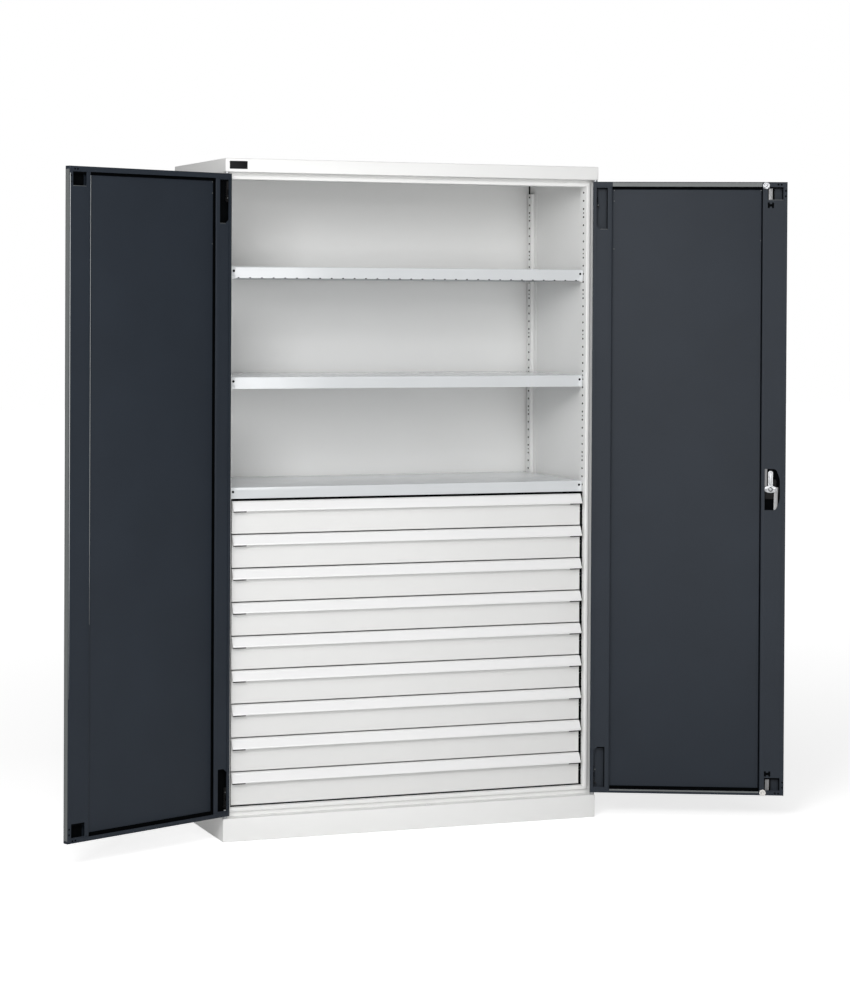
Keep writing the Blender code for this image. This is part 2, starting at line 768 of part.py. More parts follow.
def door_skin(side_name, sign, finish, pivot):
    """The outer skin: a pan with a hem turned in round its inner face."""
    near, far = sorted((sign * HINGE_INSET, -sign * DOOR_REACH))
    hinge_hem = sign * (HINGE_INSET - HEM_HINGE)
    edge_hem = -sign * (DOOR_REACH - HEM_EDGE)
    hem_near, hem_far = sorted((hinge_hem, edge_hem))
    outer = (near, far, DOOR_LOW, DOOR_HIGH, DOOR_OUTER)
    hem = (hem_near, hem_far, DOOR_LOW + HEM_BOTTOM, DOOR_HIGH - HEM_TOP)
    under_hem = DOOR_INNER - DOOR_SHEET
    loops = [
        outer,
        (*outer[:4], DOOR_INNER),
        (*hem, DOOR_INNER),
        (*hem, under_hem),
        inset(outer, DOOR_SHEET, under_hem),
        inset(outer, DOOR_SHEET, SKIN_INNER),
    ]
    skin = nest(f"{side_name}_door_skin", loops, "Y", True, finish["dark"], pivot)
    cuts = []
    for low in (DOOR_LOW, DOOR_HIGH - DOOR_SHEET):
        ends = [(PIN_HOLE_RADIUS, low - CUT_OVERRUN), (PIN_HOLE_RADIUS, low + DOOR_SHEET + CUT_OVERRUN)]
        cuts.append(turned("pin_hole", ends, (0, 0), "Z", finish["dark"], pivot))
    slot_front = DOOR_OUTER + EDGE_SLOT_BACK
    slot = rectangle(
        DOOR_REACH - DOOR_SHEET - CUT_OVERRUN,
        DOOR_REACH + CUT_OVERRUN,
        LOCK_HEIGHT - EDGE_SLOT_DOWN,
        LOCK_HEIGHT + EDGE_SLOT_UP,
    )
    slot_end = slot_front + EDGE_SLOT_WIDE
    cuts.append(door_prism("edge_slot", sign, slot, slot_front, slot_end, finish["dark"], pivot))
    if sign > 0:
        cuts += rod_and_spindle_cutters(sign, finish, pivot)
    return round_off(combine(skin, cuts, "DIFFERENCE"))


def rod_and_spindle_cutters(sign, finish, pivot):
    """Slots for the lock rods in the right door's top and bottom edges, and the spindle's hole."""
    cuts = []
    rod_middle = (ROD_FRONT + ROD_BACK) / 2
    for low in (DOOR_LOW, DOOR_HIGH - DOOR_SHEET):
        across = (ROD_REACH - ROD_SLOT_WIDE / 2, ROD_REACH + ROD_SLOT_WIDE / 2)
        slot = rectangle(*across, low - CUT_OVERRUN, low + DOOR_SHEET + CUT_OVERRUN)
        front = rod_middle - ROD_SLOT_DEEP / 2
        back = rod_middle + ROD_SLOT_DEEP / 2
        cuts.append(door_prism("rod_slot", sign, slot, front, back, finish["dark"], pivot))
    ends = [
        (SPINDLE_HOLE_RADIUS, DOOR_OUTER - CUT_OVERRUN),
        (SPINDLE_HOLE_RADIUS, SKIN_INNER + CUT_OVERRUN),
    ]
    centre = (-sign * LOCK_REACH, LOCK_HEIGHT)
    cuts.append(turned("spindle_hole", ends, centre, "Y", finish["dark"], pivot))
    return cuts


def door_liner(side_name, sign, finish, pivot):
    """The inner sheet between the stiles, with its edges turned towards the outer skin."""
    start = HINGE_STILE_WIDTH - HINGE_INSET + LINER_SIDE_GAP
    end = DOOR_REACH - LOCK_STILE_WIDTH - LINER_SIDE_GAP
    near, far = sorted((-sign * start, -sign * end))
    low = DOOR_LOW + HEM_BOTTOM + LINER_END_GAP
    high = DOOR_HIGH - HEM_TOP - LINER_END_GAP
    inner = DOOR_INNER - LINER_SETBACK
    edge = SKIN_INNER + SEAT_GAP
    face = (near, far, low, high, inner)
    loops = [
        face,
        (*face[:4], edge),
        inset(face, LINER_SHEET, edge),
        inset(face, LINER_SHEET, inner - LINER_SHEET),
    ]
    nest(f"{side_name}_door_liner", loops, "Y", True, finish["dark"], pivot)


def hinge_stile(side_name, sign, finish, pivot):
    """The stile behind the hinge: a strip with a short lip and a window near each pin."""
    start = -HINGE_INSET + DOOR_SHEET + SEAT_GAP
    end = HINGE_STILE_WIDTH - HINGE_INSET
    lip = STILE_FACE - DOOR_SHEET - HINGE_STILE_LIP
    path = [(-sign * start, STILE_FACE), (-sign * end, STILE_FACE), (-sign * end, lip)]
    if sign > 0:
        path.reverse()
    low = DOOR_LOW + DOOR_SHEET + SEAT_GAP
    high = DOOR_HIGH - DOOR_SHEET - SEAT_GAP
    stile = channel(
        f"{side_name}_hinge_stile", path, DOOR_SHEET, low, high, "Z", finish["dark"], pivot
    )
    left = HINGE_WINDOW_LEFT
    right = HINGE_WINDOW_RIGHT
    chamfer = HINGE_WINDOW_CHAMFER
    top = DOOR_HIGH - HINGE_WINDOW_TOP_GAP
    top_low = top - HINGE_WINDOW_TALL
    bottom = DOOR_LOW + HINGE_WINDOW_BOTTOM_GAP
    bottom_high = bottom + HINGE_WINDOW_LOW_TALL
    upper = [(left + chamfer, top_low), (right, top_low), (right, top), (left, top)]
    upper.append((left, top_low + chamfer))
    lower = [(left, bottom), (right, bottom), (right, bottom_high), (left + chamfer, bottom_high)]
    lower.append((left, bottom_high - chamfer))
    cuts = []
    for outline in (upper, lower):
        front = STILE_FACE - DOOR_SHEET - CUT_OVERRUN
        back = STILE_FACE + CUT_OVERRUN
        cuts.append(door_prism("window", sign, outline, front, back, finish["dark"], pivot))
    return combine(stile, cuts, "DIFFERENCE")


def lock_stile(side_name, sign, finish, pivot):
    """The stile along the free edge, with corner windows and, on the right door, a lock window."""
    start = DOOR_REACH - LOCK_STILE_WIDTH
    end = DOOR_REACH - DOOR_SHEET - SEAT_GAP
    leg = SKIN_INNER + SEAT_GAP
    path = [(-sign * start, leg), (-sign * start, STILE_FACE), (-sign * end, STILE_FACE)]
    if sign > 0:
        path.reverse()
    low = DOOR_LOW + DOOR_SHEET + SEAT_GAP
    high = DOOR_HIGH - DOOR_SHEET - SEAT_GAP
    stile = channel(
        f"{side_name}_lock_stile", path, DOOR_SHEET, low, high, "Z", finish["dark"], pivot
    )
    right = DOOR_REACH - CORNER_WINDOW_EDGE_GAP
    left = right - CORNER_WINDOW_WIDE
    bottom = DOOR_LOW + CORNER_WINDOW_END_GAP
    top = DOOR_HIGH - CORNER_WINDOW_END_GAP
    outlines = [
        rectangle(left, right, bottom, bottom + CORNER_WINDOW_TALL),
        rectangle(left, right, top - CORNER_WINDOW_TALL, top),
    ]
    if sign > 0:
        outlines.append(lock_window())
    front = STILE_FACE - DOOR_SHEET - CUT_OVERRUN
    back = STILE_FACE + CUT_OVERRUN
    cuts = []
    for outline in outlines:
        cuts.append(door_prism("window", sign, outline, front, back, finish["dark"], pivot))
    return combine(stile, cuts, "DIFFERENCE")


def lock_window():
    """The window over the lock, wider in the middle of its free side."""
    left = LOCK_REACH - LOCK_WINDOW_LEFT
    neck = LOCK_REACH + LOCK_WINDOW_NECK
    right = LOCK_REACH + LOCK_WINDOW_RIGHT
    low = LOCK_HEIGHT - LOCK_WINDOW_DOWN
    high = LOCK_HEIGHT + LOCK_WINDOW_UP
    return [
        (left, low),
        (neck, low),
        (right, LOCK_HEIGHT - LOCK_WINDOW_BULGE),
        (right, LOCK_HEIGHT + LOCK_WINDOW_BULGE),
        (neck, high),
        (left, high),
    ]


def lock_case(sign, finish, pivot):
    """The black case on the skin's inner face, with the spindle's hole through it."""
    outline = rectangle(
        LOCK_REACH - CASE_LEFT,
        LOCK_REACH + CASE_RIGHT,
        LOCK_HEIGHT - CASE_DOWN,
        LOCK_HEIGHT + CASE_UP,
    )
    front = CASE_BACK - CASE_DEPTH
    case = door_prism("lock_case", sign, outline, front, CASE_BACK, finish["black"], pivot)
    ends = [
        (SPINDLE_HOLE_RADIUS, front - CUT_OVERRUN),
        (SPINDLE_HOLE_RADIUS, CASE_BACK + CUT_OVERRUN),
    ]
    centre = (-sign * LOCK_REACH, LOCK_HEIGHT)
    hole = turned("spindle_hole", ends, centre, "Y", finish["black"], pivot)
    return round_off(combine(case, [hole], "DIFFERENCE"))


def capsule(half_length, radius):
    """A bar with round ends, centred on zero along its length."""
    points = []
    middle = half_length - radius
    for step in range(END_ARC_STEPS + 1):
        angle = math.pi * step / END_ARC_STEPS
        points.append((middle + radius * math.sin(angle), -radius * math.cos(angle)))
    for step in range(END_ARC_STEPS + 1):
        angle = math.pi * step / END_ARC_STEPS
        points.append((-middle - radius * math.sin(angle), radius * math.cos(angle)))
    return points


def lock_cam(finish, spindle):
    """The cam plate that drives both rods, with the tongue that stands up when the lock is undone."""
    radius = TONGUE_WIDTH / 2
    wide = CAM_WIDE / 2
    tall = CAM_TALL / 2
    outline = [
        (-wide, CAM_CORNER - tall),
        (CAM_CORNER - wide, -tall),
        (wide - CAM_CORNER, -tall),
        (wide, CAM_CORNER - tall),
        (wide, tall - CAM_CORNER),
        (wide - CAM_CORNER, tall),
        (radius, tall),
    ]
    for step in range(END_ARC_STEPS + 1):
        angle = math.pi * step / END_ARC_STEPS
        outline.append((radius * math.cos(angle), TONGUE_LENGTH - radius + radius * math.sin(angle)))
    outline += [(-radius, tall), (CAM_CORNER - wide, tall), (-wide, tall - CAM_CORNER)]
    return prism("lock_cam", outline, CAM_FRONT, CAM_BACK, "Y", finish["steel"], spindle)


def lock_knob(finish, spindle):
    """The outside turning grip with its base, neck and spindle, bored for the lock plug."""
    base = DOOR_OUTER - SEAT_GAP
    neck = base - KNOB_BASE_DEPTH
    grip = neck - KNOB_NECK_DEPTH
    outer = grip - KNOB_DEPTH
    profile = [
        (SPINDLE_RADIUS, CAM_FRONT - SEAT_GAP),
        (SPINDLE_RADIUS, base),
        (KNOB_BASE_RADIUS, base),
        (KNOB_BASE_RADIUS, neck),
        (KNOB_NECK_RADIUS, neck - KNOB_BEVEL),
        (KNOB_NECK_RADIUS, grip - KNOB_BEVEL),
    ]
    shaft = turned("lock_knob", profile, (0, 0), "Y", finish["black"], spindle)
    outline = capsule(KNOB_LENGTH / 2, KNOB_WIDTH / 2)
    bar = prism("bar", outline, outer, grip, "Y", finish["black"], spindle)
    bevel = bar.modifiers.new("Rounding", "BEVEL")
    bevel.width = KNOB_BEVEL
    bevel.segments = 2
    bevel.limit_method = "ANGLE"
    bevel.angle_limit = math.radians(60)
    bake(bar)
    ends = [
        (PLUG_RADIUS + SEAT_GAP, outer - CUT_OVERRUN),
        (PLUG_RADIUS + SEAT_GAP, outer + PLUG_DEPTH),
    ]
    bore = turned("bore", ends, (0, 0), "Y", finish["black"], spindle)
    combine(shaft, [bar], "UNION")
    return round_off(combine(shaft, [bore], "DIFFERENCE"))


def key_plug(finish, spindle):
    """The lock plug in the middle of the grip, with its keyway."""
    outer = DOOR_OUTER - SEAT_GAP - KNOB_BASE_DEPTH - KNOB_NECK_DEPTH - KNOB_DEPTH
    profile = [(PLUG_RADIUS, outer - PLUG_PROUD), (PLUG_RADIUS, outer + PLUG_DEPTH - SEAT_GAP)]
    plug = turned("key_plug", profile, (0, 0), "Y", finish["steel"], spindle)
    low = (-KEYWAY_WIDE / 2, outer - PLUG_PROUD - CUT_OVERRUN, -KEYWAY_TALL / 2)
    high = (KEYWAY_WIDE / 2, outer - PLUG_PROUD + KEYWAY_DEEP, KEYWAY_TALL / 2)
    keyway = block("keyway", low, high, finish["steel"], spindle)
    return round_off(combine(plug, [keyway], "DIFFERENCE"))


def lock_rods(sign, finish, pivot):
    """Flat rods from the cam to the door's ends, each with a tapered tip."""
    half = ROD_WIDTH / 2
    tip_half = ROD_TIP_WIDTH / 2
    upper_tip = DOOR_HIGH - ROD_TIP_REST_GAP
    lower_tip = DOOR_LOW + ROD_TIP_REST_GAP
    rods = (
        ("upper_rod", LOCK_REACH - CAM_PIN_RADIUS, upper_tip, 1),
        ("lower_rod", LOCK_REACH + CAM_PIN_RADIUS, lower_tip, -1),
    )
    for name, cam_reach, tip, way in rods:
        cam_end = LOCK_HEIGHT - way * ROD_CAM_LAP
        shoulder = tip - way * ROD_TIP_TAPER
        outline = [
            (cam_reach - half, cam_end),
            (cam_reach + half, cam_end),
            (ROD_REACH + half, shoulder),
            (ROD_REACH + tip_half, tip),
            (ROD_REACH - tip_half, tip),
            (ROD_REACH - half, shoulder),
        ]
        door_prism(name, sign, outline, ROD_FRONT, ROD_BACK, finish["steel"], pivot)


def door_discs(sign, finish, pivot):
    """The magnet at the top and the buffer at the bottom of the right door's inner face."""
    reach = DOOR_REACH - DISC_EDGE_GAP
    start = DOOR_INNER + SEAT_GAP
    discs = (
        ("door_magnet", MAGNET_RADIUS, DOOR_HIGH - MAGNET_TOP_GAP, "steel"),
        ("door_buffer", BUFFER_RADIUS, DOOR_LOW + BUFFER_BOTTOM_GAP, "steel"),
    )
    for name, radius, height, slot in discs:
        profile = [(radius, start), (radius, start + DISC_DEPTH)]
        round_off(turned(name, profile, (-sign * reach, height), "Y", finish[slot], pivot))


def doors(finish, cabinet):
    """Both doors on empties at their hinge axes, turned to their open stops."""
    for side_name, sign in (("left", -1), ("right", 1)):
        pivot = empty(f"{side_name}_door", (sign * HINGE_X, HINGE_INSET, 0), cabinet)
        pivot.rotation_euler.z = sign * math.radians(DOOR_OPEN_DEGREES)
        door_skin(side_name, sign, finish, pivot)
        door_liner(side_name, sign, finish, pivot)
        hinge_stile(side_name, sign, finish, pivot)
        lock_stile(side_name, sign, finish, pivot)
        if sign > 0:
            lock_case(sign, finish, pivot)
            lock_rods(sign, finish, pivot)
            door_discs(sign, finish, pivot)
            spindle = empty("lock_spindle", (-sign * LOCK_REACH, 0, LOCK_HEIGHT), pivot)
            lock_cam(finish, spindle)
            lock_knob(finish, spindle)
            key_plug(finish, spindle)


def main():
    """Build the whole cabinet."""
    clear_scene()
    finish = make_materials()
    cabinet = empty("cabinet", (0, -DEPTH / 2, 0))
    plinth(finish, cabinet)
    cap(finish, cabinet)
    front_frame(finish, cabinet)
    sides(finish, cabinet)
    back_and_bottom(finish, cabinet)
    back_posts(finish, cabinet)
    shelves(finish, cabinet)
    runner_racks(finish, cabinet)
    drawers(finish, cabinet)
    label_plate(finish, cabinet)
    pivot_pins(finish, cabinet)
    doors(finish, cabinet)


main()
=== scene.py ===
"""The looks of the workshop cabinet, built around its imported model. Lengths are in metres."""

import json
import math

import bpy
from mathutils import Matrix, Vector


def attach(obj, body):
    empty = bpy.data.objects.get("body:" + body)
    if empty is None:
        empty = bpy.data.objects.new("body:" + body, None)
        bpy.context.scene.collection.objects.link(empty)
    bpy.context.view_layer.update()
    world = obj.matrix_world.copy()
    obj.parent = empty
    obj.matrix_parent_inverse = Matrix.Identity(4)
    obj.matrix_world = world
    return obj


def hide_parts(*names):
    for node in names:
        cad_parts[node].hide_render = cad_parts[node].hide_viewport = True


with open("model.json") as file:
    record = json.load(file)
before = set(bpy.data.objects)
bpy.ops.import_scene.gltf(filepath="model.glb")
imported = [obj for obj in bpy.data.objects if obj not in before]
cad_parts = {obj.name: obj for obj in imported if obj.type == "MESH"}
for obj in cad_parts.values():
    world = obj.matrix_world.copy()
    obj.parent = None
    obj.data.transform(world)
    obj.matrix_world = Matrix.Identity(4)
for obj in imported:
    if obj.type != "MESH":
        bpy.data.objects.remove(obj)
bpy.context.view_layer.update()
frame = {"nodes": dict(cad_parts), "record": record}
nodes = frame["nodes"]

# Places taken from the cabinet's plan
FRONT = -0.280
HINGE_X = 0.588
HINGE_Y = -0.273
OPEN_DEGREES = 155.4


class Number:
    """A shader value that takes part in sums."""

    def __init__(self, finish, socket):
        self.finish = finish
        self.socket = socket

    def sum(self, operation, first, second):
        return self.finish.add("ShaderNodeMath", {"operation": operation}, {0: first, 1: second})

    def __add__(self, other):
        return self.sum("ADD", self, other)

    def __radd__(self, other):
        return self.sum("ADD", other, self)

    def __mul__(self, other):
        return self.sum("MULTIPLY", self, other)

    def __rmul__(self, other):
        return self.sum("MULTIPLY", other, self)


# The part of a noise's range that its values mostly fill
NOISE_LOW = 0.3
NOISE_HIGH = 0.7


class Finish:
    """A material built on one Principled BSDF, with patterns that read Object coordinates."""

    def __init__(self, name, roughness=0.5, metallic=0.0):
        self.material = bpy.data.materials.new(name)
        self.material.use_nodes = True
        self.tree = self.material.node_tree
        self.shader = self.tree.nodes["Principled BSDF"]
        self.shader.inputs["Roughness"].default_value = roughness
        self.shader.inputs["Metallic"].default_value = metallic
        self.place = self.add("ShaderNodeTexCoord", output="Object")

    def add(self, kind, settings=None, sockets=None, output=0):
        """One node: its settings first, then the values or links of its sockets."""
        node = self.tree.nodes.new(kind)
        for key, value in (settings or {}).items():
            setattr(node, key, value)
        for key, value in (sockets or {}).items():
            if isinstance(value, Number):
                self.tree.links.new(value.socket, node.inputs[key])
            else:
                node.inputs[key].default_value = value
        return Number(self, node.outputs[output])

    def noise(self, scale, detail=2.0):
        sockets = {"Vector": self.place, "Scale": scale, "Detail": detail}
        return self.add("ShaderNodeTexNoise", None, sockets)

    def spread(self, value, low, high, to_low, to_high):
        """Carry a value from one range to another, held at both ends."""
        sockets = {"Value": value, "From Min": low, "From Max": high, "To Min": to_low, "To Max": to_high}
        return self.add("ShaderNodeMapRange", {"clamp": True}, sockets)

    def pattern(self, noise, to_low, to_high):
        """The middle part of a noise, carried to a range of its own."""
        return self.spread(noise, NOISE_LOW, NOISE_HIGH, to_low, to_high)

    def colour(self, share, first, second):
        """A base colour that varies between two others."""
        sockets = {"Factor": share, "A": (*first, 1.0), "B": (*second, 1.0)}
        self.put("Base Color", self.add("ShaderNodeMix", {"data_type": "RGBA"}, sockets, output=2))

    def shine(self, level):
        self.put("Specular IOR Level", level)

    def put(self, socket, value):
        if isinstance(value, Number):
            self.tree.links.new(value.socket, self.shader.inputs[socket])
        else:
            self.shader.inputs[socket].default_value = value

    def bump(self, height, distance, strength=1.0):
        sockets = {"Height": height, "Distance": distance, "Strength": strength}
        self.put("Normal", self.add("ShaderNodeBump", None, sockets))


def darkened(base, factor):
    """A base colour times a factor."""
    return tuple(part * factor for part in base)


def white_finish(name, base):
    """Smooth powder coat with the faint waves of sprayed paint."""
    finish = Finish(name)
    cloud = finish.noise(3.0, 3.0)
    peel = finish.noise(620.0, 1.0)
    finish.colour(finish.pattern(cloud, 0.0, 1.0), base, darkened(base, 0.975))
    finish.put("Roughness", finish.pattern(finish.noise(40.0), 0.34, 0.44))
    finish.bump(peel, 0.00004, 0.6)
    return finish.material


def dark_finish(name, base):
    """Powder coat with a fine grain."""
    finish = Finish(name)
    grain = finish.noise(900.0, 2.0)
    cloud = finish.noise(5.0, 2.0)
    share = finish.spread(grain * 0.7 + cloud * 0.3, 0.35, 0.65, 0.0, 1.0)
    finish.colour(share, base, darkened(base, 1.35))
    finish.put("Roughness", finish.pattern(grain, 0.5, 0.62))
    finish.bump(grain, 0.00008, 0.7)
    finish.shine(0.28)
    return finish.material


def zinc_finish(name, base):
    """Bright zinc-coated sheet that mirrors softly."""
    finish = Finish(name, metallic=0.03)
    cloud = finish.noise(9.0, 2.0)
    finish.colour(finish.pattern(cloud, 0.0, 1.0), base, darkened(base, 0.97))
    finish.put("Roughness", finish.pattern(cloud, 0.10, 0.13))
    finish.bump(finish.noise(70.0), 0.00001, 0.3)
    return finish.material


def painted_shade_finish(name):
    """Nearly black painted shade, for what lies deep in a gap or behind a hole."""
    finish = Finish(name, roughness=1.0)
    shade_grain = finish.noise(60.0)
    finish.colour(finish.pattern(shade_grain, 0.0, 1.0), (0.0022, 0.0026, 0.003), (0.0032, 0.0036, 0.004))
    finish.put("Roughness", finish.pattern(shade_grain, 0.92, 1.0))
    finish.bump(shade_grain, 0.00002, 0.3)
    finish.shine(0.0)
    return finish.material


def plain_finish(name, base, roughness, metallic, grain_scale, shine=0.5):
    """A small part's even surface with a fine grain."""
    finish = Finish(name, metallic=metallic)
    grain = finish.noise(grain_scale, 2.0)
    finish.colour(finish.pattern(grain, 0.0, 1.0), base, darkened(base, 0.85))
    finish.put("Roughness", finish.pattern(grain, roughness, roughness + 0.1))
    finish.bump(grain, 0.00003, 0.5)
    finish.shine(shine)
    return finish.material


FINISHES = {
    "white_paint": white_finish("white powder coat", (0.885, 0.885, 0.875)),
    # A darker copy of the white powder coat: painted shade that holds the drawer fronts below the carcass
    # white
    "front_paint": white_finish("drawer front powder coat", (0.80, 0.80, 0.79)),
    "dark_paint": dark_finish("dark textured powder coat", (0.014, 0.019, 0.027)),
    "zinc_sheet": zinc_finish("zinc-coated sheet", (0.68, 0.70, 0.715)),
    "grip_paint": white_finish("grip powder coat", (0.92, 0.92, 0.92)),
    "bright_steel": plain_finish("plated steel", (0.52, 0.53, 0.545), 0.34, 0.9, 300.0),
    "dull_steel": plain_finish("dull plated steel", (0.30, 0.30, 0.305), 0.45, 0.6, 300.0),
    # A lighter copy of the dark paint: painted highlight for lit hems, sills, edges and specks
    "lit_edge": plain_finish("paint worn light on an edge", (0.150, 0.160, 0.160), 0.4, 0.0, 700.0),
    "lit_fold": plain_finish("lit fold", (0.46, 0.48, 0.48), 0.4, 0.0, 400.0),
    # The near black of painted shade, for strips in gaps and behind holes
    "gap": painted_shade_finish("dark of a gap"),
    "white_nylon": plain_finish("white nylon", (0.78, 0.76, 0.73), 0.4, 0.0, 400.0),
    "black_plastic": plain_finish("black plastic", (0.009, 0.009, 0.0095), 0.45, 0.0, 500.0, 0.12),
}


def dress(piece, slot):
    """Give a piece one finish in place of what it has."""
    piece.data.materials.clear()
    piece.data.materials.append(FINISHES[slot])


for part in frame["record"]["subparts"]:
    dress(nodes[part["node"]], part["material_slot"])


# Each lamp's place, aim, width, height and power
WORLD_LIGHT = 0.24
LAMPS = (
    ("front box", (0.0, -5.0, 1.7), (0, 0, 1.0), 2.5, 1.5, 46.0),
    ("left box", (-2.6, -4.2, 2.8), (0, 0, 1.1), 1.6, 1.2, 92.0),
    ("steep box", (-1.2, -3.6, 4.2), (0, 0, 1.1), 1.6, 1.2, 26.0),
    ("left side box", (-5.0, -1.4, 2.3), (-0.4, -0.3, 1.6), 1.5, 1.5, 32.0),
    ("low front strip", (-0.8, -5.0, 0.8), (0, 0, 1.0), 2.0, 0.8, 5.0),
    ("floor glow", (0.1, -2.7, 0.35), (0.1, 0, 1.3), 2.6, 0.6, 5.0),
)


# How finely sheets are rounded and places are matched
SMOOTH_DEGREES = 40.0
FLAT_DEGREES = 0.5
TINY = 0.00001
NEAR = 0.0002


def deselect():
    """Leave nothing selected."""
    for item in list(bpy.context.selected_objects):
        item.select_set(False)


def take(piece):
    """Make one piece the selected and active one."""
    deselect()
    piece.select_set(True)
    bpy.context.view_layer.objects.active = piece


def settle(piece):
    """Put a piece's place, turn and scale into its mesh."""
    take(piece)
    bpy.ops.object.transform_apply(location=True, rotation=True, scale=True)
    return piece


def finish_step(piece, kind, **settings):
    """Add one modifier and apply it."""
    step = piece.modifiers.new(kind.title(), kind)
    for key, value in settings.items():
        setattr(step, key, value)
    take(piece)
    bpy.ops.object.modifier_apply(modifier=step.name)
    return piece


def soften(piece, width, segments=2, degrees=30.0):
    """Round the edges and shade what is round smooth."""
    finish_step(
        piece, "BEVEL", width=width, segments=segments, limit_method="ANGLE",
        angle_limit=math.radians(degrees), use_clamp_overlap=True,
    )
    take(piece)
    bpy.ops.object.shade_smooth_by_angle(angle=math.radians(SMOOTH_DEGREES))
    return piece


def round_folds(piece, chosen, radius, segments=4, space=None):
    """Round the edges whose two ends both pass a test on their place."""
    back = space.inverted() if space else Matrix.Identity(4)
    take(piece)
    bpy.ops.object.mode_set(mode="EDIT")
    bpy.ops.mesh.select_mode(type="EDGE")
    bpy.ops.mesh.select_all(action="DESELECT")
    bpy.ops.object.mode_set(mode="OBJECT")
    mesh = piece.data
    for edge in mesh.edges:
        ends = [back @ mesh.vertices[index].co for index in edge.vertices]
        edge.select = chosen(*ends)
    bpy.ops.object.mode_set(mode="EDIT")
    bpy.ops.mesh.bevel(offset=radius, segments=segments, affect="EDGES", clamp_overlap=False)
    bpy.ops.mesh.select_mode(type="VERT")
    bpy.ops.object.mode_set(mode="OBJECT")
    bpy.ops.object.shade_smooth_by_angle(angle=math.radians(SMOOTH_DEGREES))
    return piece


def near(value, *places):
    """Whether a value lies at one of some places."""
    return any(abs(value - place) < NEAR for place in places)


def both(test):
    """A test on an edge from a test on its two ends."""
    return lambda first, second: test(first) and test(second)


def cad_copy(node, name):
    """A merged copy of a CAD node's mesh, to be shaped further."""
    piece = nodes[node].copy()
    piece.data = nodes[node].data.copy()
    piece.name = name
    bpy.context.collection.objects.link(piece)
    take(piece)
    bpy.ops.mesh.customdata_custom_splitnormals_clear()
    bpy.ops.object.mode_set(mode="EDIT")
    bpy.ops.mesh.select_all(action="SELECT")
    bpy.ops.mesh.remove_doubles(threshold=TINY)
    bpy.ops.mesh.dissolve_limited(angle_limit=math.radians(FLAT_DEGREES))
    bpy.ops.object.mode_set(mode="OBJECT")
    return piece


def bar(name, low, high):
    """A block between two corners."""
    middle = [(a + b) / 2 for a, b in zip(low, high)]
    size = [abs(b - a) for a, b in zip(low, high)]
    deselect()
    bpy.ops.mesh.primitive_cube_add(size=1.0, location=middle, scale=size)
    piece = bpy.context.object
    piece.name = name
    return settle(piece)


def drum(name, centre, radius, length, axis, sides=24):
    """A round bar about a centre, along one axis."""
    turn = {"X": (0, math.pi / 2, 0), "Y": (math.pi / 2, 0, 0), "Z": (0, 0, 0)}[axis]
    deselect()
    bpy.ops.mesh.primitive_cylinder_add(
        vertices=sides, radius=radius, depth=length, location=centre, rotation=turn
    )
    piece = bpy.context.object
    piece.name = name
    return settle(piece)


def dome(name, centre, radius, height, sides=24):
    """A low rounded head that stands on a door's inner side."""
    deselect()
    bpy.ops.mesh.primitive_uv_sphere_add(
        segments=sides, ring_count=12, radius=radius, location=centre, scale=(1, height / radius, 1)
    )
    piece = settle(bpy.context.object)
    piece.name = name
    bpy.ops.object.shade_smooth()
    return piece


def row(piece, count, step):
    """Repeat a piece at even steps."""
    return finish_step(
        piece, "ARRAY", count=count, use_relative_offset=False,
        use_constant_offset=True, constant_offset_displace=step,
    )


def join(pieces):
    """One object from several."""
    take(pieces[0])
    for piece in pieces[1:]:
        piece.select_set(True)
    bpy.ops.object.join()
    return pieces[0]


def cut(piece, tools):
    """Cut tools out of a piece."""
    tool = join(tools)
    finish_step(piece, "BOOLEAN", operation="DIFFERENCE", solver="EXACT", object=tool)
    bpy.data.objects.remove(tool)
    return piece


def done(piece, body, slot, *replaced):
    """Give a finished piece its material, its body and the CAD nodes that it stands for."""
    dress(piece, slot)
    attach(piece, body)
    if replaced:
        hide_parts(*replaced)
    return piece


STRIP_EDGE = 0.0001
THIN_END = 0.12


def softened(node, name, body, slot, width, segments=2, degrees=30.0):
    """A CAD node kept as it is, but for its rounded edges."""
    piece = soften(cad_copy(node, name), width, segments, degrees)
    return done(piece, body, slot, node)


def narrow_end(strip, low, high, level):
    """Let a strip run out to a thin lower end from a level down."""
    take(strip)
    bpy.ops.object.mode_set(mode="EDIT")
    bpy.ops.mesh.select_mode(type="VERT")
    bpy.ops.mesh.select_all(action="SELECT")
    bpy.ops.mesh.bisect(plane_co=(0, 0, level), plane_no=(0, 0, 1))
    bpy.ops.mesh.select_all(action="DESELECT")
    bpy.ops.object.mode_set(mode="OBJECT")
    for corner in strip.data.vertices:
        corner.select = corner.co.z < low[2] + NEAR
    bpy.ops.object.mode_set(mode="EDIT")
    centre = ((low[0] + high[0]) / 2, 0, low[2])
    bpy.ops.transform.resize(value=(THIN_END, 1, 1), center_override=centre)
    bpy.ops.object.mode_set(mode="OBJECT")


def thin_strip(name, low, high, body, side=None, slot="gap", fade=None):
    """A thin strip of painted shade behind a hole or deep in a gap, where no light comes, or of painted
    highlight along a lit fold.
    """
    strip = bar(name, low, high)
    if fade:
        narrow_end(strip, low, high, fade)
    soften(strip, STRIP_EDGE, 1)
    if side:
        hang(strip, side)
    return done(strip, body, slot)


SIDES = ((-1, "left"), (1, "right"))

# The carcass
MOUTH_HALF = 0.567
HALF_WIDTH = 0.595
HALF_DEPTH = 0.280
FRAME_SHEET = 0.0015
LIP_WIDTH = 0.0115
LIP_SETBACK = 0.024
LIP_RADIUS = 0.002
CAP_RADIUS = 0.0025
RAIL_LIPS = (("top_rail", (1.940, 1.9515)), ("bottom_rail", (0.095, 0.0835)))
RIMS = (("cap", (1.960, 2.0)), ("plinth", (0.0, 0.069)))

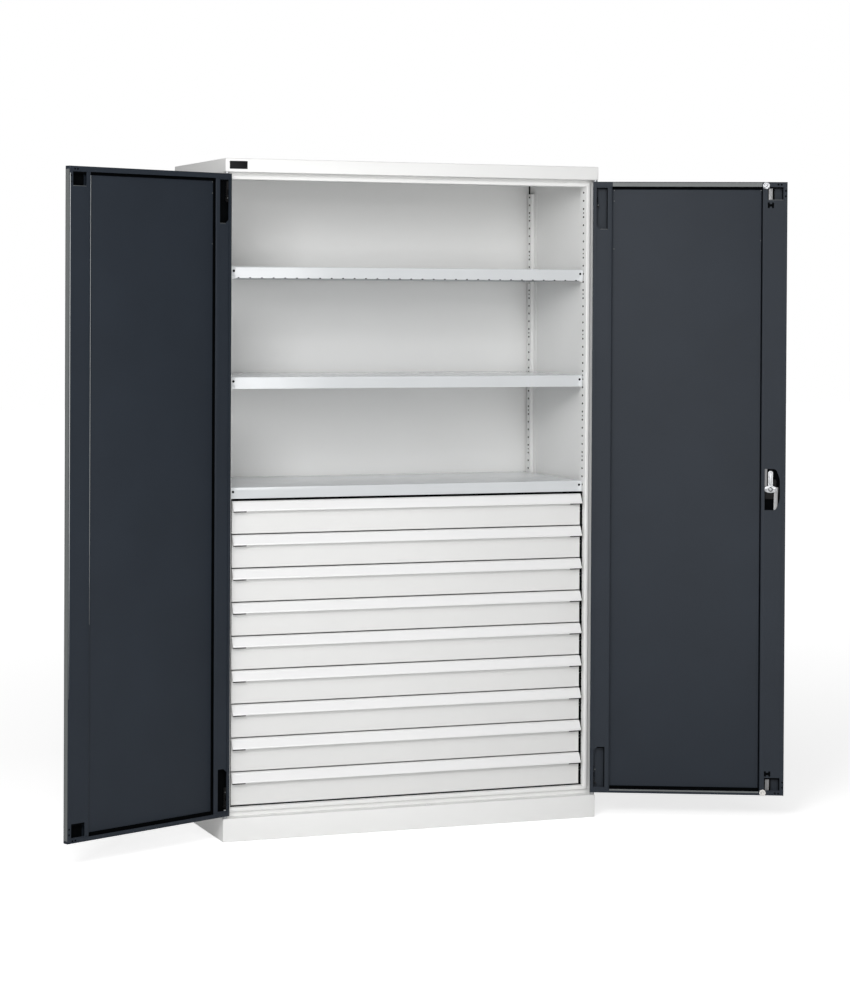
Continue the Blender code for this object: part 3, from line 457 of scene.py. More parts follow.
# Its hook holes: one row of them, and a wider spaced row over it
HOLE_PITCH = 0.025
HOLE_TOP = 1.9225
HOLE_COUNT = 74
HOLE_RADIUS = 0.0037
EXTRA_TOP = 1.860
EXTRA_PITCH = 0.125
EXTRA_COUNT = 15
EXTRA_RADIUS = 0.0029
HOLE_STRETCH = 1.45
HOLE_SQUASH = 0.85
HOLE_SIDES = 12
TOOL_LENGTH = 0.006
BEHIND_SKIN = 0.0003
JAMB_HOLES_Y = 0.0485
POST_HOLES_Y = 0.476


def slot_tool(name, centre, radius):
    """A flattened drum that cuts one hook hole, wider than it is tall."""
    tool = drum(name, centre, radius, TOOL_LENGTH, "X", HOLE_SIDES)
    take(tool)
    bpy.ops.object.mode_set(mode="EDIT")
    bpy.ops.mesh.select_all(action="SELECT")
    bpy.ops.transform.resize(value=(1, HOLE_STRETCH, HOLE_SQUASH), center_override=centre)
    bpy.ops.object.mode_set(mode="OBJECT")
    return tool


def perforated(node, sign, across):
    """A jamb or post with its rows of hook holes, and painted shade behind them."""
    piece = cad_copy(node, f"{node}_perforated")
    if "jamb" in node:
        lip = (MOUTH_HALF, MOUTH_HALF + LIP_WIDTH)
        on_lip = both(lambda point: near(abs(point.x), *lip) and near(point.y, FRONT + LIP_SETBACK))
        round_folds(piece, lambda a, b: on_lip(a, b) and abs(a.x - b.x) < NEAR, LIP_RADIUS)
    x = sign * (MOUTH_HALF + 0.0005)
    y = FRONT + across
    holes = row(slot_tool("holes", (x, y, HOLE_TOP), HOLE_RADIUS), HOLE_COUNT, (0, 0, -HOLE_PITCH))
    extra = row(slot_tool("extra", (x, y, EXTRA_TOP), EXTRA_RADIUS), EXTRA_COUNT, (0, 0, -EXTRA_PITCH))
    cut(piece, [holes, extra])
    near_x = sign * (MOUTH_HALF + BEHIND_SKIN)
    far_x = sign * (MOUTH_HALF + FRAME_SHEET - BEHIND_SKIN)
    wide = HOLE_RADIUS * HOLE_STRETCH
    low = (near_x, y - wide, HOLE_TOP - HOLE_COUNT * HOLE_PITCH)
    high = (far_x, y + wide, HOLE_TOP + HOLE_RADIUS)
    thin_strip(f"{node}_dark_behind_holes", low, high, "carcass")
    # Painted shade in a slit at a post's top corner and along its top
    if "post" in node:
        slit_low = (sign * 0.5655, y - 0.0030, 1.9337)
        slit_high = (sign * 0.5680, y + 0.0030, 1.9590)
        thin_strip(f"{node}_corner_slit", slit_low, slit_high, "carcass")
        line_low = (sign * 0.5662, y - 0.0130, 1.9328)
        line_high = (sign * 0.5774, y + 0.004, 1.9344)
        thin_strip(f"{node}_top_line", line_low, line_high, "carcass")
    return done(piece, "carcass", "white_paint", node)


def front_frame():
    """The jambs, posts and rails, the cap and the plinth, with their folds rounded."""
    for sign, side in SIDES:
        perforated(f"{side}_jamb", sign, JAMB_HOLES_Y)
        perforated(f"{side}_post", sign, POST_HOLES_Y)
    face = FRONT + LIP_SETBACK
    for node, levels in RAIL_LIPS:
        piece = cad_copy(node, f"{node}_folded")
        on_lip = both(lambda point: near(point.z, *levels) and near(point.y, face))
        round_folds(piece, lambda a, b: on_lip(a, b) and abs(a.z - b.z) < NEAR, LIP_RADIUS)
        done(piece, "carcass", "white_paint", node)
    for node, levels in RIMS:
        piece = cad_copy(node, f"{node}_folded")
        round_folds(piece, both(lambda point: on_rim(point, levels)), CAP_RADIUS)
        done(piece, "carcass", "white_paint", node)


def on_rim(point, levels):
    """Whether a point is on an upright corner of the cap or the plinth, at its top or bottom."""
    return near(point.z, *levels) and near(abs(point.x), HALF_WIDTH) and near(abs(point.y), HALF_DEPTH)


# The shelves
SHELF_TOPS = {"upper": 1.685, "middle": 1.360, "lower": 1.035}
SHELF_HALF = 0.565
SHELF_FOLD = 0.002
LIP_TALL = 0.035
LIP_FRONT = 0.045
END_HOLE_IN = 0.0095
END_HOLE_DROP = 0.013
END_HOLE_RADIUS = 0.0038
END_HOLE_SIDES = 16
END_TAB_IN = 0.014
NOTCH_LEFT = -0.5440
NOTCH_RIGHT = -0.5385
NOTCH_TALL = 0.0034
NOTCH_COUNT = 31
NOTCH_PITCH = 0.0361
NOTCHED_HALF = 0.5500

# The drawers, measured on the top one
DRAWER_TOP = 0.995
DRAWER_PITCH = 0.100
DRAWER_COUNT = 9
DRAWER_HALF = 0.559
DRAWER_FACE = 0.044
DRAWER_TALL = 0.0965
DRAWER_FOLD = 0.0022
GRIP_FOLD = 0.0025
RUNNER_OUT = 0.5635
RUNNER_FRONT = 0.0602
RUNNER_TOP = 0.0460
RUNNER_BOTTOM = 0.0540


def shade_round_drawers():
    """Painted shade over, under and beside the bank of drawers, with a way for each runner."""
    gap_low = (-SHELF_HALF, FRONT + LIP_FRONT - 0.0010, DRAWER_TOP + 0.0003)
    gap_high = (SHELF_HALF, FRONT + LIP_FRONT + 0.0008, SHELF_TOPS["lower"] - LIP_TALL + 0.0018)
    thin_strip("dark_under_lower_shelf", gap_low, gap_high, "carcass")
    sill_low = (-SHELF_HALF, FRONT + 0.0434, 0.0951)
    sill_high = (SHELF_HALF, FRONT + 0.0455, 0.0982)
    thin_strip("dark_under_lowest_drawer", sill_low, sill_high, "carcass")
    lowest = DRAWER_TOP - (DRAWER_COUNT - 1) * DRAWER_PITCH
    for sign, side in SIDES:
        beside_low = (sign * (DRAWER_HALF + 0.0006), FRONT + 0.0448, 0.0960)
        beside_high = (sign * (MOUTH_HALF - 0.0002), FRONT + 0.0460, DRAWER_TOP)
        beside = bar(f"dark_beside_{side}_drawer_ends", beside_low, beside_high)
        way_low = (sign * (DRAWER_HALF - 0.001), FRONT + 0.0440, lowest - RUNNER_BOTTOM - 0.001)
        way_high = (sign * (RUNNER_OUT + 0.0005), FRONT + 0.0470, lowest - RUNNER_TOP + 0.001)
        way = bar("runner_way", way_low, way_high)
        cut(beside, [row(way, DRAWER_COUNT, (0, 0, DRAWER_PITCH))])
        done(soften(beside, STRIP_EDGE), "carcass", "gap")


def end_hole(sign, y, top):
    """The tool for the hole near one end of a shelf's lip."""
    centre = (sign * (SHELF_HALF - END_HOLE_IN), y, top - END_HOLE_DROP)
    return drum("end_hole", centre, END_HOLE_RADIUS, 0.01, "Y", END_HOLE_SIDES)


def upper_shelf_edge(y, low):
    """The tools for the notches along the upper shelf's lower edge, and painted shade in them and along that
    edge.
    """
    notch_low = (NOTCH_LEFT, y - 0.003, low - 0.001)
    notch_high = (NOTCH_RIGHT, y + 0.003, low + NOTCH_TALL)
    notches = row(bar("edge_notch", notch_low, notch_high), NOTCH_COUNT, (NOTCH_PITCH, 0, 0))
    dark_low = (-NOTCHED_HALF, y + 0.0002, low + 0.0002)
    dark_high = (NOTCHED_HALF, y + 0.0006, low + 0.0040)
    thin_strip("upper_shelf_notches_dark", dark_low, dark_high, "carcass")
    edge_low = (-NOTCHED_HALF, y - 0.0002, low)
    edge_high = (NOTCHED_HALF, y + 0.0004, low + 0.0009)
    thin_strip("upper_shelf_edge_dark", edge_low, edge_high, "carcass")
    return notches


def shelves():
    """The shelves, with a tab and a hole at both ends of the lip, painted shade behind those holes, and
    notches along the upper one's edge.
    """
    y = FRONT + LIP_FRONT
    for name, top in SHELF_TOPS.items():
        piece = cad_copy(f"{name}_shelf", f"{name}_shelf_folded")
        low = top - LIP_TALL
        tools = [upper_shelf_edge(y, low)] if name == "upper" else []
        for sign, side in SIDES:
            hole_x = sign * (SHELF_HALF - END_HOLE_IN)
            dark_low = (hole_x - 0.0042, y + 0.0002, top - 0.0172)
            dark_high = (hole_x + 0.0042, y + 0.0006, top - 0.0088)
            thin_strip(f"{name}_{side}_shelf_end_dark", dark_low, dark_high, "carcass")
        tools += [end_hole(sign, y, top) for sign in (-1, 1)]
        round_folds(piece, both(lambda point: near(point.y, y) and near(point.z, top)), SHELF_FOLD)
        cut(piece, tools)
        done(piece, "carcass", "zinc_sheet", f"{name}_shelf")
        for sign, side in SIDES:
            tab_low = (sign * (SHELF_HALF - 0.0005), y - 0.0008, low + 0.0008)
            tab_high = (sign * (SHELF_HALF - END_TAB_IN), y, top - 0.0015)
            tab = bar("tab", tab_low, tab_high)
            cut(tab, [end_hole(sign, y, top)])
            soften(tab, 0.0003)
            tab.name = f"{name}_{side}_shelf_tab"
            done(tab, "carcass", "zinc_sheet")


def door_space(side):
    """From the right door's own space, with its hinge axis at zero, to an open door."""
    angle = math.radians(OPEN_DEGREES)
    if side == "right":
        return Matrix.Translation((HINGE_X, HINGE_Y, 0)) @ Matrix.Rotation(angle, 4, "Z")
    mirror = Matrix.Scale(-1, 4, (1, 0, 0))
    return Matrix.Translation((-HINGE_X, HINGE_Y, 0)) @ Matrix.Rotation(-angle, 4, "Z") @ mirror


def hang(piece, side):
    """Carry a piece from the right door's own space to an open door."""
    piece.matrix_world = door_space(side)
    settle(piece)
    if side == "left":
        bpy.ops.object.mode_set(mode="EDIT")
        bpy.ops.mesh.select_all(action="SELECT")
        bpy.ops.mesh.normals_make_consistent(inside=False)
        bpy.ops.object.mode_set(mode="OBJECT")
    return piece


# The doors, by the reach from the hinge axis, the depth through the door and the height
DOOR_BACK = 0.007
DOOR_REACH = 0.5855
DOOR_LOW = 0.0773
DOOR_HIGH = 1.9547
SKIN_FACE = -0.007
SKIN_FOLD = 0.0022
LINER_FACE = 0.0016
LINER_FOLD = 0.0024
STILE_OUTER = 0.052
STILE_INNER = 0.511
STILE_FACE = 0.0125
STILE_FOLD = 0.0018
HEM_FACE = 0.014
HEM_FOLD = 0.0016
HEM_HOLES = (
    (0.5577, 1.9467), (0.5674, 1.9467), (0.5800, 1.9278), (0.5800, 1.9114),
    (0.581, 0.118), (0.581, 0.1023), (0.559, 0.0847), (0.5693, 0.084),
)
HEM_HOLE_RADIUS = 0.0030
HEM_HOLE_SIDES = 12
WINDOW_CORNERS = ((0.5570, (0.9520, 1.0780)), (0.5684, (0.9855, 1.0455)))
WINDOW_ROUNDING = 0.009

# The rods' guides in the right door
GUIDE_LEFT = 0.5257
GUIDE_RIGHT = 0.545
GUIDES = ((1.875, 1.8924), (0.135, 0.1512))
GUIDE_SLOT = 0.006
GUIDE_HOLE_HALF_WIDE = 0.005
GUIDE_HOLE_HALF_TALL = 0.004


def on_outline(point):
    """Whether a point is on the outline of a door, seen from the front."""
    return near(point.x, DOOR_BACK, -DOOR_REACH) or near(point.z, DOOR_LOW, DOOR_HIGH)


def on_hem(point):
    """Whether a point is on the folded outer edge of a door's inner face."""
    return near(point.y, HEM_FACE) and on_outline(point)


def on_face(point):
    """Whether a point is on the outline of a door's outer face."""
    return near(point.y, SKIN_FACE) and on_outline(point)


def on_stile(point, across):
    """Whether a point is on a stile's front fold at a distance from the hinge axis."""
    return near(point.y, STILE_FACE) and near(point.x, -across)


def on_window(point):
    """Whether a point is on one of the four outer corners of the lock's window."""
    return any(near(point.x, -across) and near(point.z, *levels) for across, levels in WINDOW_CORNERS)


def through_window(first, second):
    """Whether an edge goes through the sheet at a corner of the lock's window."""
    return both(on_window)(first, second) and near(first.x, second.x) and near(first.z, second.z)


def guide_cuts(low, high):
    """The tools for one rod guide: a slot along both its sides and a hole between them."""
    inner = STILE_FACE - 0.004
    outer = STILE_FACE + 0.002
    middle = (GUIDE_LEFT + GUIDE_RIGHT) / 2
    centre = (low + high) / 2
    hole_low = (-middle - GUIDE_HOLE_HALF_WIDE, inner - 0.0003, centre - GUIDE_HOLE_HALF_TALL)
    hole_high = (-middle + GUIDE_HOLE_HALF_WIDE, outer + 0.0003, centre + GUIDE_HOLE_HALF_TALL)
    return [
        bar("slot", (-GUIDE_LEFT, inner, low), (-GUIDE_LEFT - GUIDE_SLOT, outer, high)),
        bar("slot", (-GUIDE_RIGHT, inner, low), (-GUIDE_RIGHT + GUIDE_SLOT, outer, high)),
        bar("slot", hole_low, hole_high),
    ]


def hem_hole(across, z):
    """The tool for one small hole in a door's hem."""
    return drum("hole", (-across, HEM_FACE, z), HEM_HOLE_RADIUS, 0.006, "Y", HEM_HOLE_SIDES)


def doors():
    """The doors' skins, stiles and liners, with rounded folds, small holes and the rods' guides."""
    for side in ("left", "right"):
        body = f"{side}_door"
        space = door_space(side)
        skin = cad_copy(f"{side}_door_skin", f"{side}_door_skin_folded")
        round_folds(skin, both(on_hem), HEM_FOLD, 3, space)
        round_folds(skin, both(on_face), SKIN_FOLD, 4, space)
        cut(skin, [hang(hem_hole(across, z), side) for across, z in HEM_HOLES])
        done(skin, body, "dark_paint", f"{side}_door_skin")
        stile = cad_copy(f"{side}_lock_stile", f"{side}_lock_stile_folded")
        round_folds(stile, both(lambda point: on_stile(point, STILE_INNER)), STILE_FOLD, 3, space)
        if side == "right":
            round_folds(stile, through_window, WINDOW_ROUNDING, 6, space)
            for low, high in GUIDES:
                for tool in guide_cuts(low, high):
                    cut(stile, [hang(tool, side)])
        done(stile, body, "dark_paint", f"{side}_lock_stile")
        piece = cad_copy(f"{side}_hinge_stile", f"{side}_hinge_stile_folded")
        round_folds(piece, both(lambda point: on_stile(point, STILE_OUTER)), STILE_FOLD, 3, space)
        done(piece, body, "dark_paint", f"{side}_hinge_stile")
        piece = cad_copy(f"{side}_door_liner", f"{side}_door_liner_folded")
        round_folds(piece, both(lambda point: near(point.y, LINER_FACE)), LINER_FOLD, 4, space)
        done(piece, body, "dark_paint", f"{side}_door_liner")


# Depths through a door that its strips share
IN_GAP = (-0.0055, -0.0008)
IN_WINDOW = (0.0086, 0.0111)
BY_GUIDE = (0.0089, 0.0111)
BY_ROD = (-0.0055, 0.0020)
ON_SKIN = (-0.0055, -0.0046)
IN_HEM = (0.0130, 0.0137)
ON_HEM = (0.01385, 0.01415)
ON_SILL = (0.0114, 0.01255)

# The strips on the doors, most of painted shade or painted highlight: name, reach, depth and height,
# then the finish where it isn't the near black of painted shade, and the level where it starts to run out
DARK_ON_BOTH = (
    ("top_gap", (0.0540, 0.5090), IN_GAP, (1.9312, 1.9528)),
    ("bottom_gap", (0.0540, 0.5090), IN_GAP, (0.0790, 0.0981)),
    ("lock_gap", (0.5076, 0.5107), IN_GAP, (0.0790, 1.9528)),
    ("upper_window_head", (0.0050, 0.0400), IN_WINDOW, (1.9330, 1.9385)),
    ("upper_window_side", (0.0350, 0.0400), IN_WINDOW, (1.8070, 1.9385)),
    ("lower_window_head", (0.0050, 0.0400), IN_WINDOW, (0.2145, 0.2200)),
    ("lower_window_side", (0.0350, 0.0400), IN_WINDOW, (0.0920, 0.2200)),
    ("upper_corner_head", (0.5250, 0.5745), IN_WINDOW, (1.9350, 1.9400)),
    ("upper_corner_side", (0.5695, 0.5745), IN_WINDOW, (1.8980, 1.9400)),
    ("lower_corner_head", (0.5250, 0.5745), IN_WINDOW, (0.1262, 0.1310)),
    ("lower_corner_side", (0.5695, 0.5745), IN_WINDOW, (0.0900, 0.1310)),
)
DARK_ON_LEFT = (
    ("hinge_gap", (-0.0052, 0.0553), IN_GAP, (0.0790, 1.9528)),
    ("upper_corner_dark", (0.5230, 0.5770), ON_SKIN, (1.8950, 1.9420)),
    ("lower_corner_dark", (0.5230, 0.5770), ON_SKIN, (0.0880, 0.1340)),
)
DARK_IN_HEM = (
    ("top_hem_holes_dark", (0.5535, 0.5715), IN_HEM, (1.9435, 1.9500)),
    ("upper_edge_hem_holes_dark", (0.5768, 0.5842), IN_HEM, (1.9080, 1.9310)),
    ("lower_edge_hem_holes_dark", (0.5768, 0.5842), IN_HEM, (0.0990, 0.1215)),
    ("bottom_hem_holes_dark", (0.5550, 0.5730), IN_HEM, (0.0810, 0.0880)),
)
DARK_ON_RIGHT = (
    ("lower_guide_dark", (0.5240, 0.5468), BY_GUIDE, (0.1340, 0.1522)),
    ("upper_guide_dark", (0.5240, 0.5468), BY_GUIDE, (1.8740, 1.8934)),
    ("lock_window_dark", (0.5180, 0.5730), ON_SKIN, (0.9480, 1.0820)),
    ("upper_rod_dark", (0.5200, 0.5460), BY_ROD, (1.8950, 1.9500)),
    ("lower_rod_dark", (0.5200, 0.5460), BY_ROD, (0.0850, 0.1300)),
)
LIT_ON_BOTH = (
    ("upper_window_sill", (0.0160, 0.0380), ON_SILL, (1.8090, 1.8099), "lit_edge"),
    ("upper_corner_sill", (0.5260, 0.5730), ON_SILL, (1.8996, 1.9006), "lit_edge"),
)
LIT_ON_LEFT = (
    ("edge_face_light", (0.5850, 0.5857), (-0.0040, 0.0115), (0.0850, 1.9460), "lit_edge"),
    ("edge_fold_light", (0.5828, 0.5850), (0.0128, 0.01415), (0.4800, 1.9350), "lit_fold", 0.95),
    ("stile_edge_light", (0.5112, 0.5122), (0.0115, 0.01265), (0.6800, 1.9300), "lit_fold", 1.05),
)
LIT_ON_RIGHT = (
    ("top_hem_light", (0.0535, 0.5090), ON_HEM, (1.9402, 1.9528), "lit_edge"),
    ("bottom_hem_light", (0.0535, 0.5090), ON_HEM, (0.0845, 0.0890), "lit_edge"),
    ("hinge_gap_floor", (0.0500, 0.0560), (-0.0008, 0.0012), (0.0985, 1.9310), "dark_paint"),
)
DOOR_STRIPS = {
    "left": DARK_ON_BOTH + DARK_ON_LEFT + DARK_IN_HEM + LIT_ON_BOTH + LIT_ON_LEFT,
    "right": DARK_ON_BOTH + DARK_IN_HEM + DARK_ON_RIGHT + LIT_ON_BOTH + LIT_ON_RIGHT,
}

# The glints along a liner: small domes in the finish of a painted highlight
LINER_GLINTS = ((0.0580, 1.9285), (0.0580, 1.8960), (0.0580, 1.7490), (0.5055, 1.9290), (0.5055, 1.7760))
GLINT_RADIUS = 0.0015
GLINT_HEIGHT = 0.0005
GLINT_SIDES = 12


def door_strip(side, name, reach, depth, height, slot="gap", fade=None):
    """One strip on a door, from its row in the list."""
    low = (-reach[0], depth[0], height[0])
    high = (-reach[1], depth[1], height[1])
    return thin_strip(f"{side}_{name}", low, high, f"{side}_door", side, slot, fade)


def door_gaps():
    """Painted shade in the doors' gaps, windows and guides, painted highlight on their folds, and glints on
    the liners.
    """
    for side, strips in DOOR_STRIPS.items():
        for strip in strips:
            door_strip(side, *strip)
        places = [(-across, LINER_FACE, z) for across, z in LINER_GLINTS]
        glints = join([dome("nib", place, GLINT_RADIUS, GLINT_HEIGHT, GLINT_SIDES) for place in places])
        glints.name = f"{side}_liner_nibs"
        done(hang(glints, side), f"{side}_door", "lit_edge")


# The grip's two bends, by their distance before the front and under the top
GRIP_BENDS = ((0.006, 0.003), (0.019, 0.026))


def on_front(point):
    """Whether a point is on the outline of the first drawer's front."""
    level = near(point.z, DRAWER_TOP, DRAWER_TOP - DRAWER_TALL)
    return near(point.y, FRONT + DRAWER_FACE) and (near(abs(point.x), DRAWER_HALF) or level)


def on_bend(point):
    """Whether a point is on one of the bends of the first drawer's grip."""
    face = FRONT + DRAWER_FACE
    return any(near(point.y, face - ahead) and near(point.z, DRAWER_TOP - drop) for ahead, drop in GRIP_BENDS)


def grip_stop(sign, side):
    """The short dark stop at one end of the first drawer's grip, in the near black of painted shade."""
    face = FRONT + DRAWER_FACE
    near_end = (sign * (DRAWER_HALF - 0.0002), face - 0.0187, DRAWER_TOP - 0.0322)
    far_end = (sign * (DRAWER_HALF - 0.040), face - 0.0160, DRAWER_TOP - 0.0275)
    return soften(bar(f"drawer_1_{side}_grip_stop", near_end, far_end), 0.0006)


def runner_shade(sign, side):
    """A block of painted shade on the front end of one of the first drawer's runners."""
    low = (sign * (DRAWER_HALF + 0.0003), FRONT + DRAWER_FACE + 0.0012, DRAWER_TOP - RUNNER_BOTTOM)
    high = (sign * (RUNNER_OUT - 0.0001), FRONT + RUNNER_FRONT, DRAWER_TOP - RUNNER_TOP)
    return soften(bar(f"drawer_1_{side}_runner_cap", low, high), 0.0004)


def drawer_copy(piece, number):
    """A copy of one of the first drawer's pieces at another drawer's place."""
    copy = piece.copy()
    copy.data = piece.data.copy()
    copy.name = piece.name.replace("drawer_1", f"drawer_{number}")
    bpy.context.collection.objects.link(copy)
    copy.location.z = (1 - number) * DRAWER_PITCH
    return settle(copy)


def drawers():
    """One drawer's tray, grip, end stops and blocks of painted shade at its runners, copied to all nine
    places.
    """
    tray = cad_copy("drawer_1_tray", "drawer_1_tray_folded")
    round_folds(tray, both(on_front), DRAWER_FOLD)
    grip = cad_copy("drawer_1_grip", "drawer_1_grip_rolled")
    round_folds(grip, both(on_bend), GRIP_FOLD)
    parts = [(tray, "front_paint", "tray"), (grip, "grip_paint", "grip")]
    ends = [(grip_stop(*way), runner_shade(*way)) for way in SIDES]
    # The grip stops, in the near black of painted shade
    parts += [(stop, "gap", None) for stop, _ in ends]
    # Blocks of painted shade at the runners' front ends
    parts += [(cap, "gap", None) for _, cap in ends]
    for number in range(DRAWER_COUNT, 0, -1):
        for piece, slot, node in parts:
            copy = drawer_copy(piece, number) if number > 1 else piece
            replaced = [f"drawer_{number}_{node}"] if node else []
            done(copy, f"drawer_{number}", slot, *replaced)


# The lock, by the depth through the right door and by the distance from its axis
LOCK_ACROSS = 0.5401
LOCK_Z = 1.0155
CAM_ROOT = 0.0022
CAM_FRONT = 0.0087
CAM_BACK = 0.0104
CAM_WIDE = 0.0195
CAM_TALL = 0.0108
CAM_SIDES = 48
HUB_RADIUS = 0.0055
TONGUE_HALF = 0.0070
TONGUE_DEPTH = (0.0018, 0.0046)
TONGUE_TIP = LOCK_Z + 0.056
TONGUE_ROUNDING = 0.0065
RIDGE_HALF = 0.0042
RIDGE_DEPTH = (0.0036, 0.0062)
RIDGE_LEVELS = (LOCK_Z + 0.013, LOCK_Z + 0.051)
BOSS_RADIUS = 0.0086
BOSS_THICK = 0.0018
SCREW_FOOT = CAM_BACK + 0.0013
SCREW_RADIUS = 0.0050
SCREW_HEIGHT = 0.0019
CROSS_LONG = 0.0026
CROSS_THIN = 0.0005
CROSS_DEPTH = (CAM_BACK + 0.0022, CAM_BACK + 0.005)
GROOVE_OUTER = 0.0068
GROOVE_INNER = 0.0052
GROOVE_THICK = 0.0006
RIVET_OUT = 0.0140
RIVET_RADIUS = 0.0022
RIVET_HEIGHT = 0.0014
EYE_RADIUS = 0.0036
EYE_THICK = 0.0012


def on_lock(depth, out=0.0):
    """A place on the lock's axis, or beside it."""
    return (-LOCK_ACROSS + out, depth, LOCK_Z)


def on_tip(point):
    """Whether a point is on the upper end of the cam's tongue."""
    return near(point.z, TONGUE_TIP)


def cam_plate():
    """The oval plate and the hub that carries it."""
    deselect()
    bpy.ops.mesh.primitive_cylinder_add(
        vertices=CAM_SIDES, radius=CAM_WIDE, depth=CAM_BACK - CAM_FRONT,
        location=on_lock((CAM_FRONT + CAM_BACK) / 2),
        rotation=(math.pi / 2, 0, 0), scale=(1, CAM_TALL / CAM_WIDE, 1),
    )
    plate = soften(settle(bpy.context.object), 0.0005)
    middle = on_lock((CAM_ROOT + CAM_FRONT) / 2)
    hub = soften(drum("hub", middle, HUB_RADIUS, CAM_FRONT - CAM_ROOT, "Y"), 0.0004)
    return [plate, hub]


def cam_tongue():
    """The tongue with its round tip and the ridge pressed into it."""
    low = (-LOCK_ACROSS - TONGUE_HALF, TONGUE_DEPTH[0], LOCK_Z)
    high = (-LOCK_ACROSS + TONGUE_HALF, TONGUE_DEPTH[1], TONGUE_TIP)
    tongue = bar("tongue", low, high)
    round_folds(tongue, lambda a, b: both(on_tip)(a, b) and near(a.x, b.x), TONGUE_ROUNDING, 6)
    low = (-LOCK_ACROSS - RIDGE_HALF, RIDGE_DEPTH[0], RIDGE_LEVELS[0])
    high = (-LOCK_ACROSS + RIDGE_HALF, RIDGE_DEPTH[1], RIDGE_LEVELS[1])
    return [tongue, soften(bar("ridge", low, high), 0.0011, 3)]


def cam_screw():
    """The boss and the screw on it, with a cross in its head."""
    boss = soften(drum("boss", on_lock(CAM_BACK + 0.0004), BOSS_RADIUS, BOSS_THICK, "Y", 32), 0.0005, 3)
    screw = dome("screw", on_lock(SCREW_FOOT), SCREW_RADIUS, SCREW_HEIGHT)
    for wide, tall in ((CROSS_LONG, CROSS_THIN), (CROSS_THIN, CROSS_LONG)):
        low = (-LOCK_ACROSS - wide, CROSS_DEPTH[0], LOCK_Z - tall)
        high = (-LOCK_ACROSS + wide, CROSS_DEPTH[1], LOCK_Z + tall)
        cut(screw, [bar("cross", low, high)])
    return [boss, screw]


def screw_groove_shade():
    """A ring of painted shade round the screw."""
    ring = drum("ring", on_lock(SCREW_FOOT), GROOVE_OUTER, GROOVE_THICK, "Y", 32)
    soften(ring, STRIP_EDGE, 1)
    cut(ring, [drum("well", on_lock(SCREW_FOOT), GROOVE_INNER, 0.002, "Y", 32)])
    ring.name = "lock_screw_groove"
    done(hang(ring, "right"), "lock", "gap")


def cam_rivets():
    """The two rivets at the ends of the plate, each in its eye."""
    rivets = []
    for out in (-RIVET_OUT, RIVET_OUT):
        eye = drum("eye", on_lock(CAM_BACK + 0.0004, out), EYE_RADIUS, EYE_THICK, "Y", 20)
        rivets.append(soften(eye, 0.0004))
        rivets.append(dome("rivet", on_lock(CAM_BACK + 0.0008, out), RIVET_RADIUS, RIVET_HEIGHT, 16))
    return rivets


def lock():
    """The cam, the rods, the case, the outside grip and the plug."""
    pieces = cam_plate() + cam_tongue() + cam_screw()
    rivets = cam_rivets()
    screw_groove_shade()
    cam = join(pieces + rivets)
    cam.name = "lock_cam_pressed"
    done(hang(cam, "right"), "lock", "bright_steel", "lock_cam")
    softened("upper_rod", "upper_rod_drawn", "upper_lock_rod", "dull_steel", 0.0006)
    softened("lower_rod", "lower_rod_drawn", "lower_lock_rod", "dull_steel", 0.0006)
    softened("lock_case", "lock_case_moulded", "right_door", "black_plastic", 0.0012, 3)
    softened("lock_knob", "lock_grip_moulded", "lock", "black_plastic", 0.0006, 2, 50.0)
    softened("key_plug", "key_plug_turned", "key", "bright_steel", 0.0003)


# The magnet and the buffer
DISC_ACROSS = 0.5215
DISC_FOOT = HEM_FACE + 0.0003
DISC_THICK = 0.0024
DISC_SIDES = 40
MAGNET_Z = 1.9436
MAGNET_RADIUS = 0.0105
MAGNET_WELL = 0.0072
BUFFER_Z = 0.0854
BUFFER_RADIUS = 0.010
BUFFER_WELL = 0.0030


def disc(name, z, radius, rounding):
    """A thick round disc on the right door's hem."""
    centre = (-DISC_ACROSS, DISC_FOOT + DISC_THICK / 2, z)
    return soften(drum(name, centre, radius, DISC_THICK, "Y", DISC_SIDES), rounding, 3)


def discs():
    """The magnet and the buffer at the free end of the right door."""
    ring = disc("ring", MAGNET_Z, MAGNET_RADIUS, 0.0007)
    cut(ring, [drum("well", (-DISC_ACROSS, DISC_FOOT + 0.0022, MAGNET_Z), MAGNET_WELL, 0.0018, "Y", 32)])
    head = dome("head", (-DISC_ACROSS, DISC_FOOT + DISC_THICK / 2, MAGNET_Z), 0.0042, 0.0014)
    magnet = join([ring, head])
    magnet.name = "door_magnet_cup"
    done(hang(magnet, "right"), "right_door", "bright_steel", "door_magnet")
    pad = disc("pad", BUFFER_Z, BUFFER_RADIUS, 0.0010)
    cut(pad, [drum("well", (-DISC_ACROSS, DISC_FOOT + 0.0026, BUFFER_Z), BUFFER_WELL, 0.0012, "Y")])
    pad.name = "door_buffer_pad"
    done(hang(pad, "right"), "right_door", "white_nylon", "door_buffer")


# The sprung pivots: the sleeve's two levels, the pin's hole, and the way to the door's end
PIVOTS = (("upper", 1.872, 1.932, 1.922, 1), ("lower", 0.100, 0.160, 0.110, -1))
SLEEVE_DEPTH = 0.0035
SLEEVE_RADIUS = 0.0062
COIL_RADIUS = 0.0074
COIL_THICK = 0.0026
COIL_COUNT = 6
COIL_START = 0.012
COIL_STEP = 0.0065
COIL_ENDS = ((0.0024, 0.014), (0.0003, 0.024), (0.0090, 0.039))
COIL_END_DEPTH = 0.0122
PIN_HOLE_RADIUS = 0.0027
PINS = ("lower_left_hinge_pin", "upper_left_hinge_pin", "lower_right_hinge_pin", "upper_right_hinge_pin")


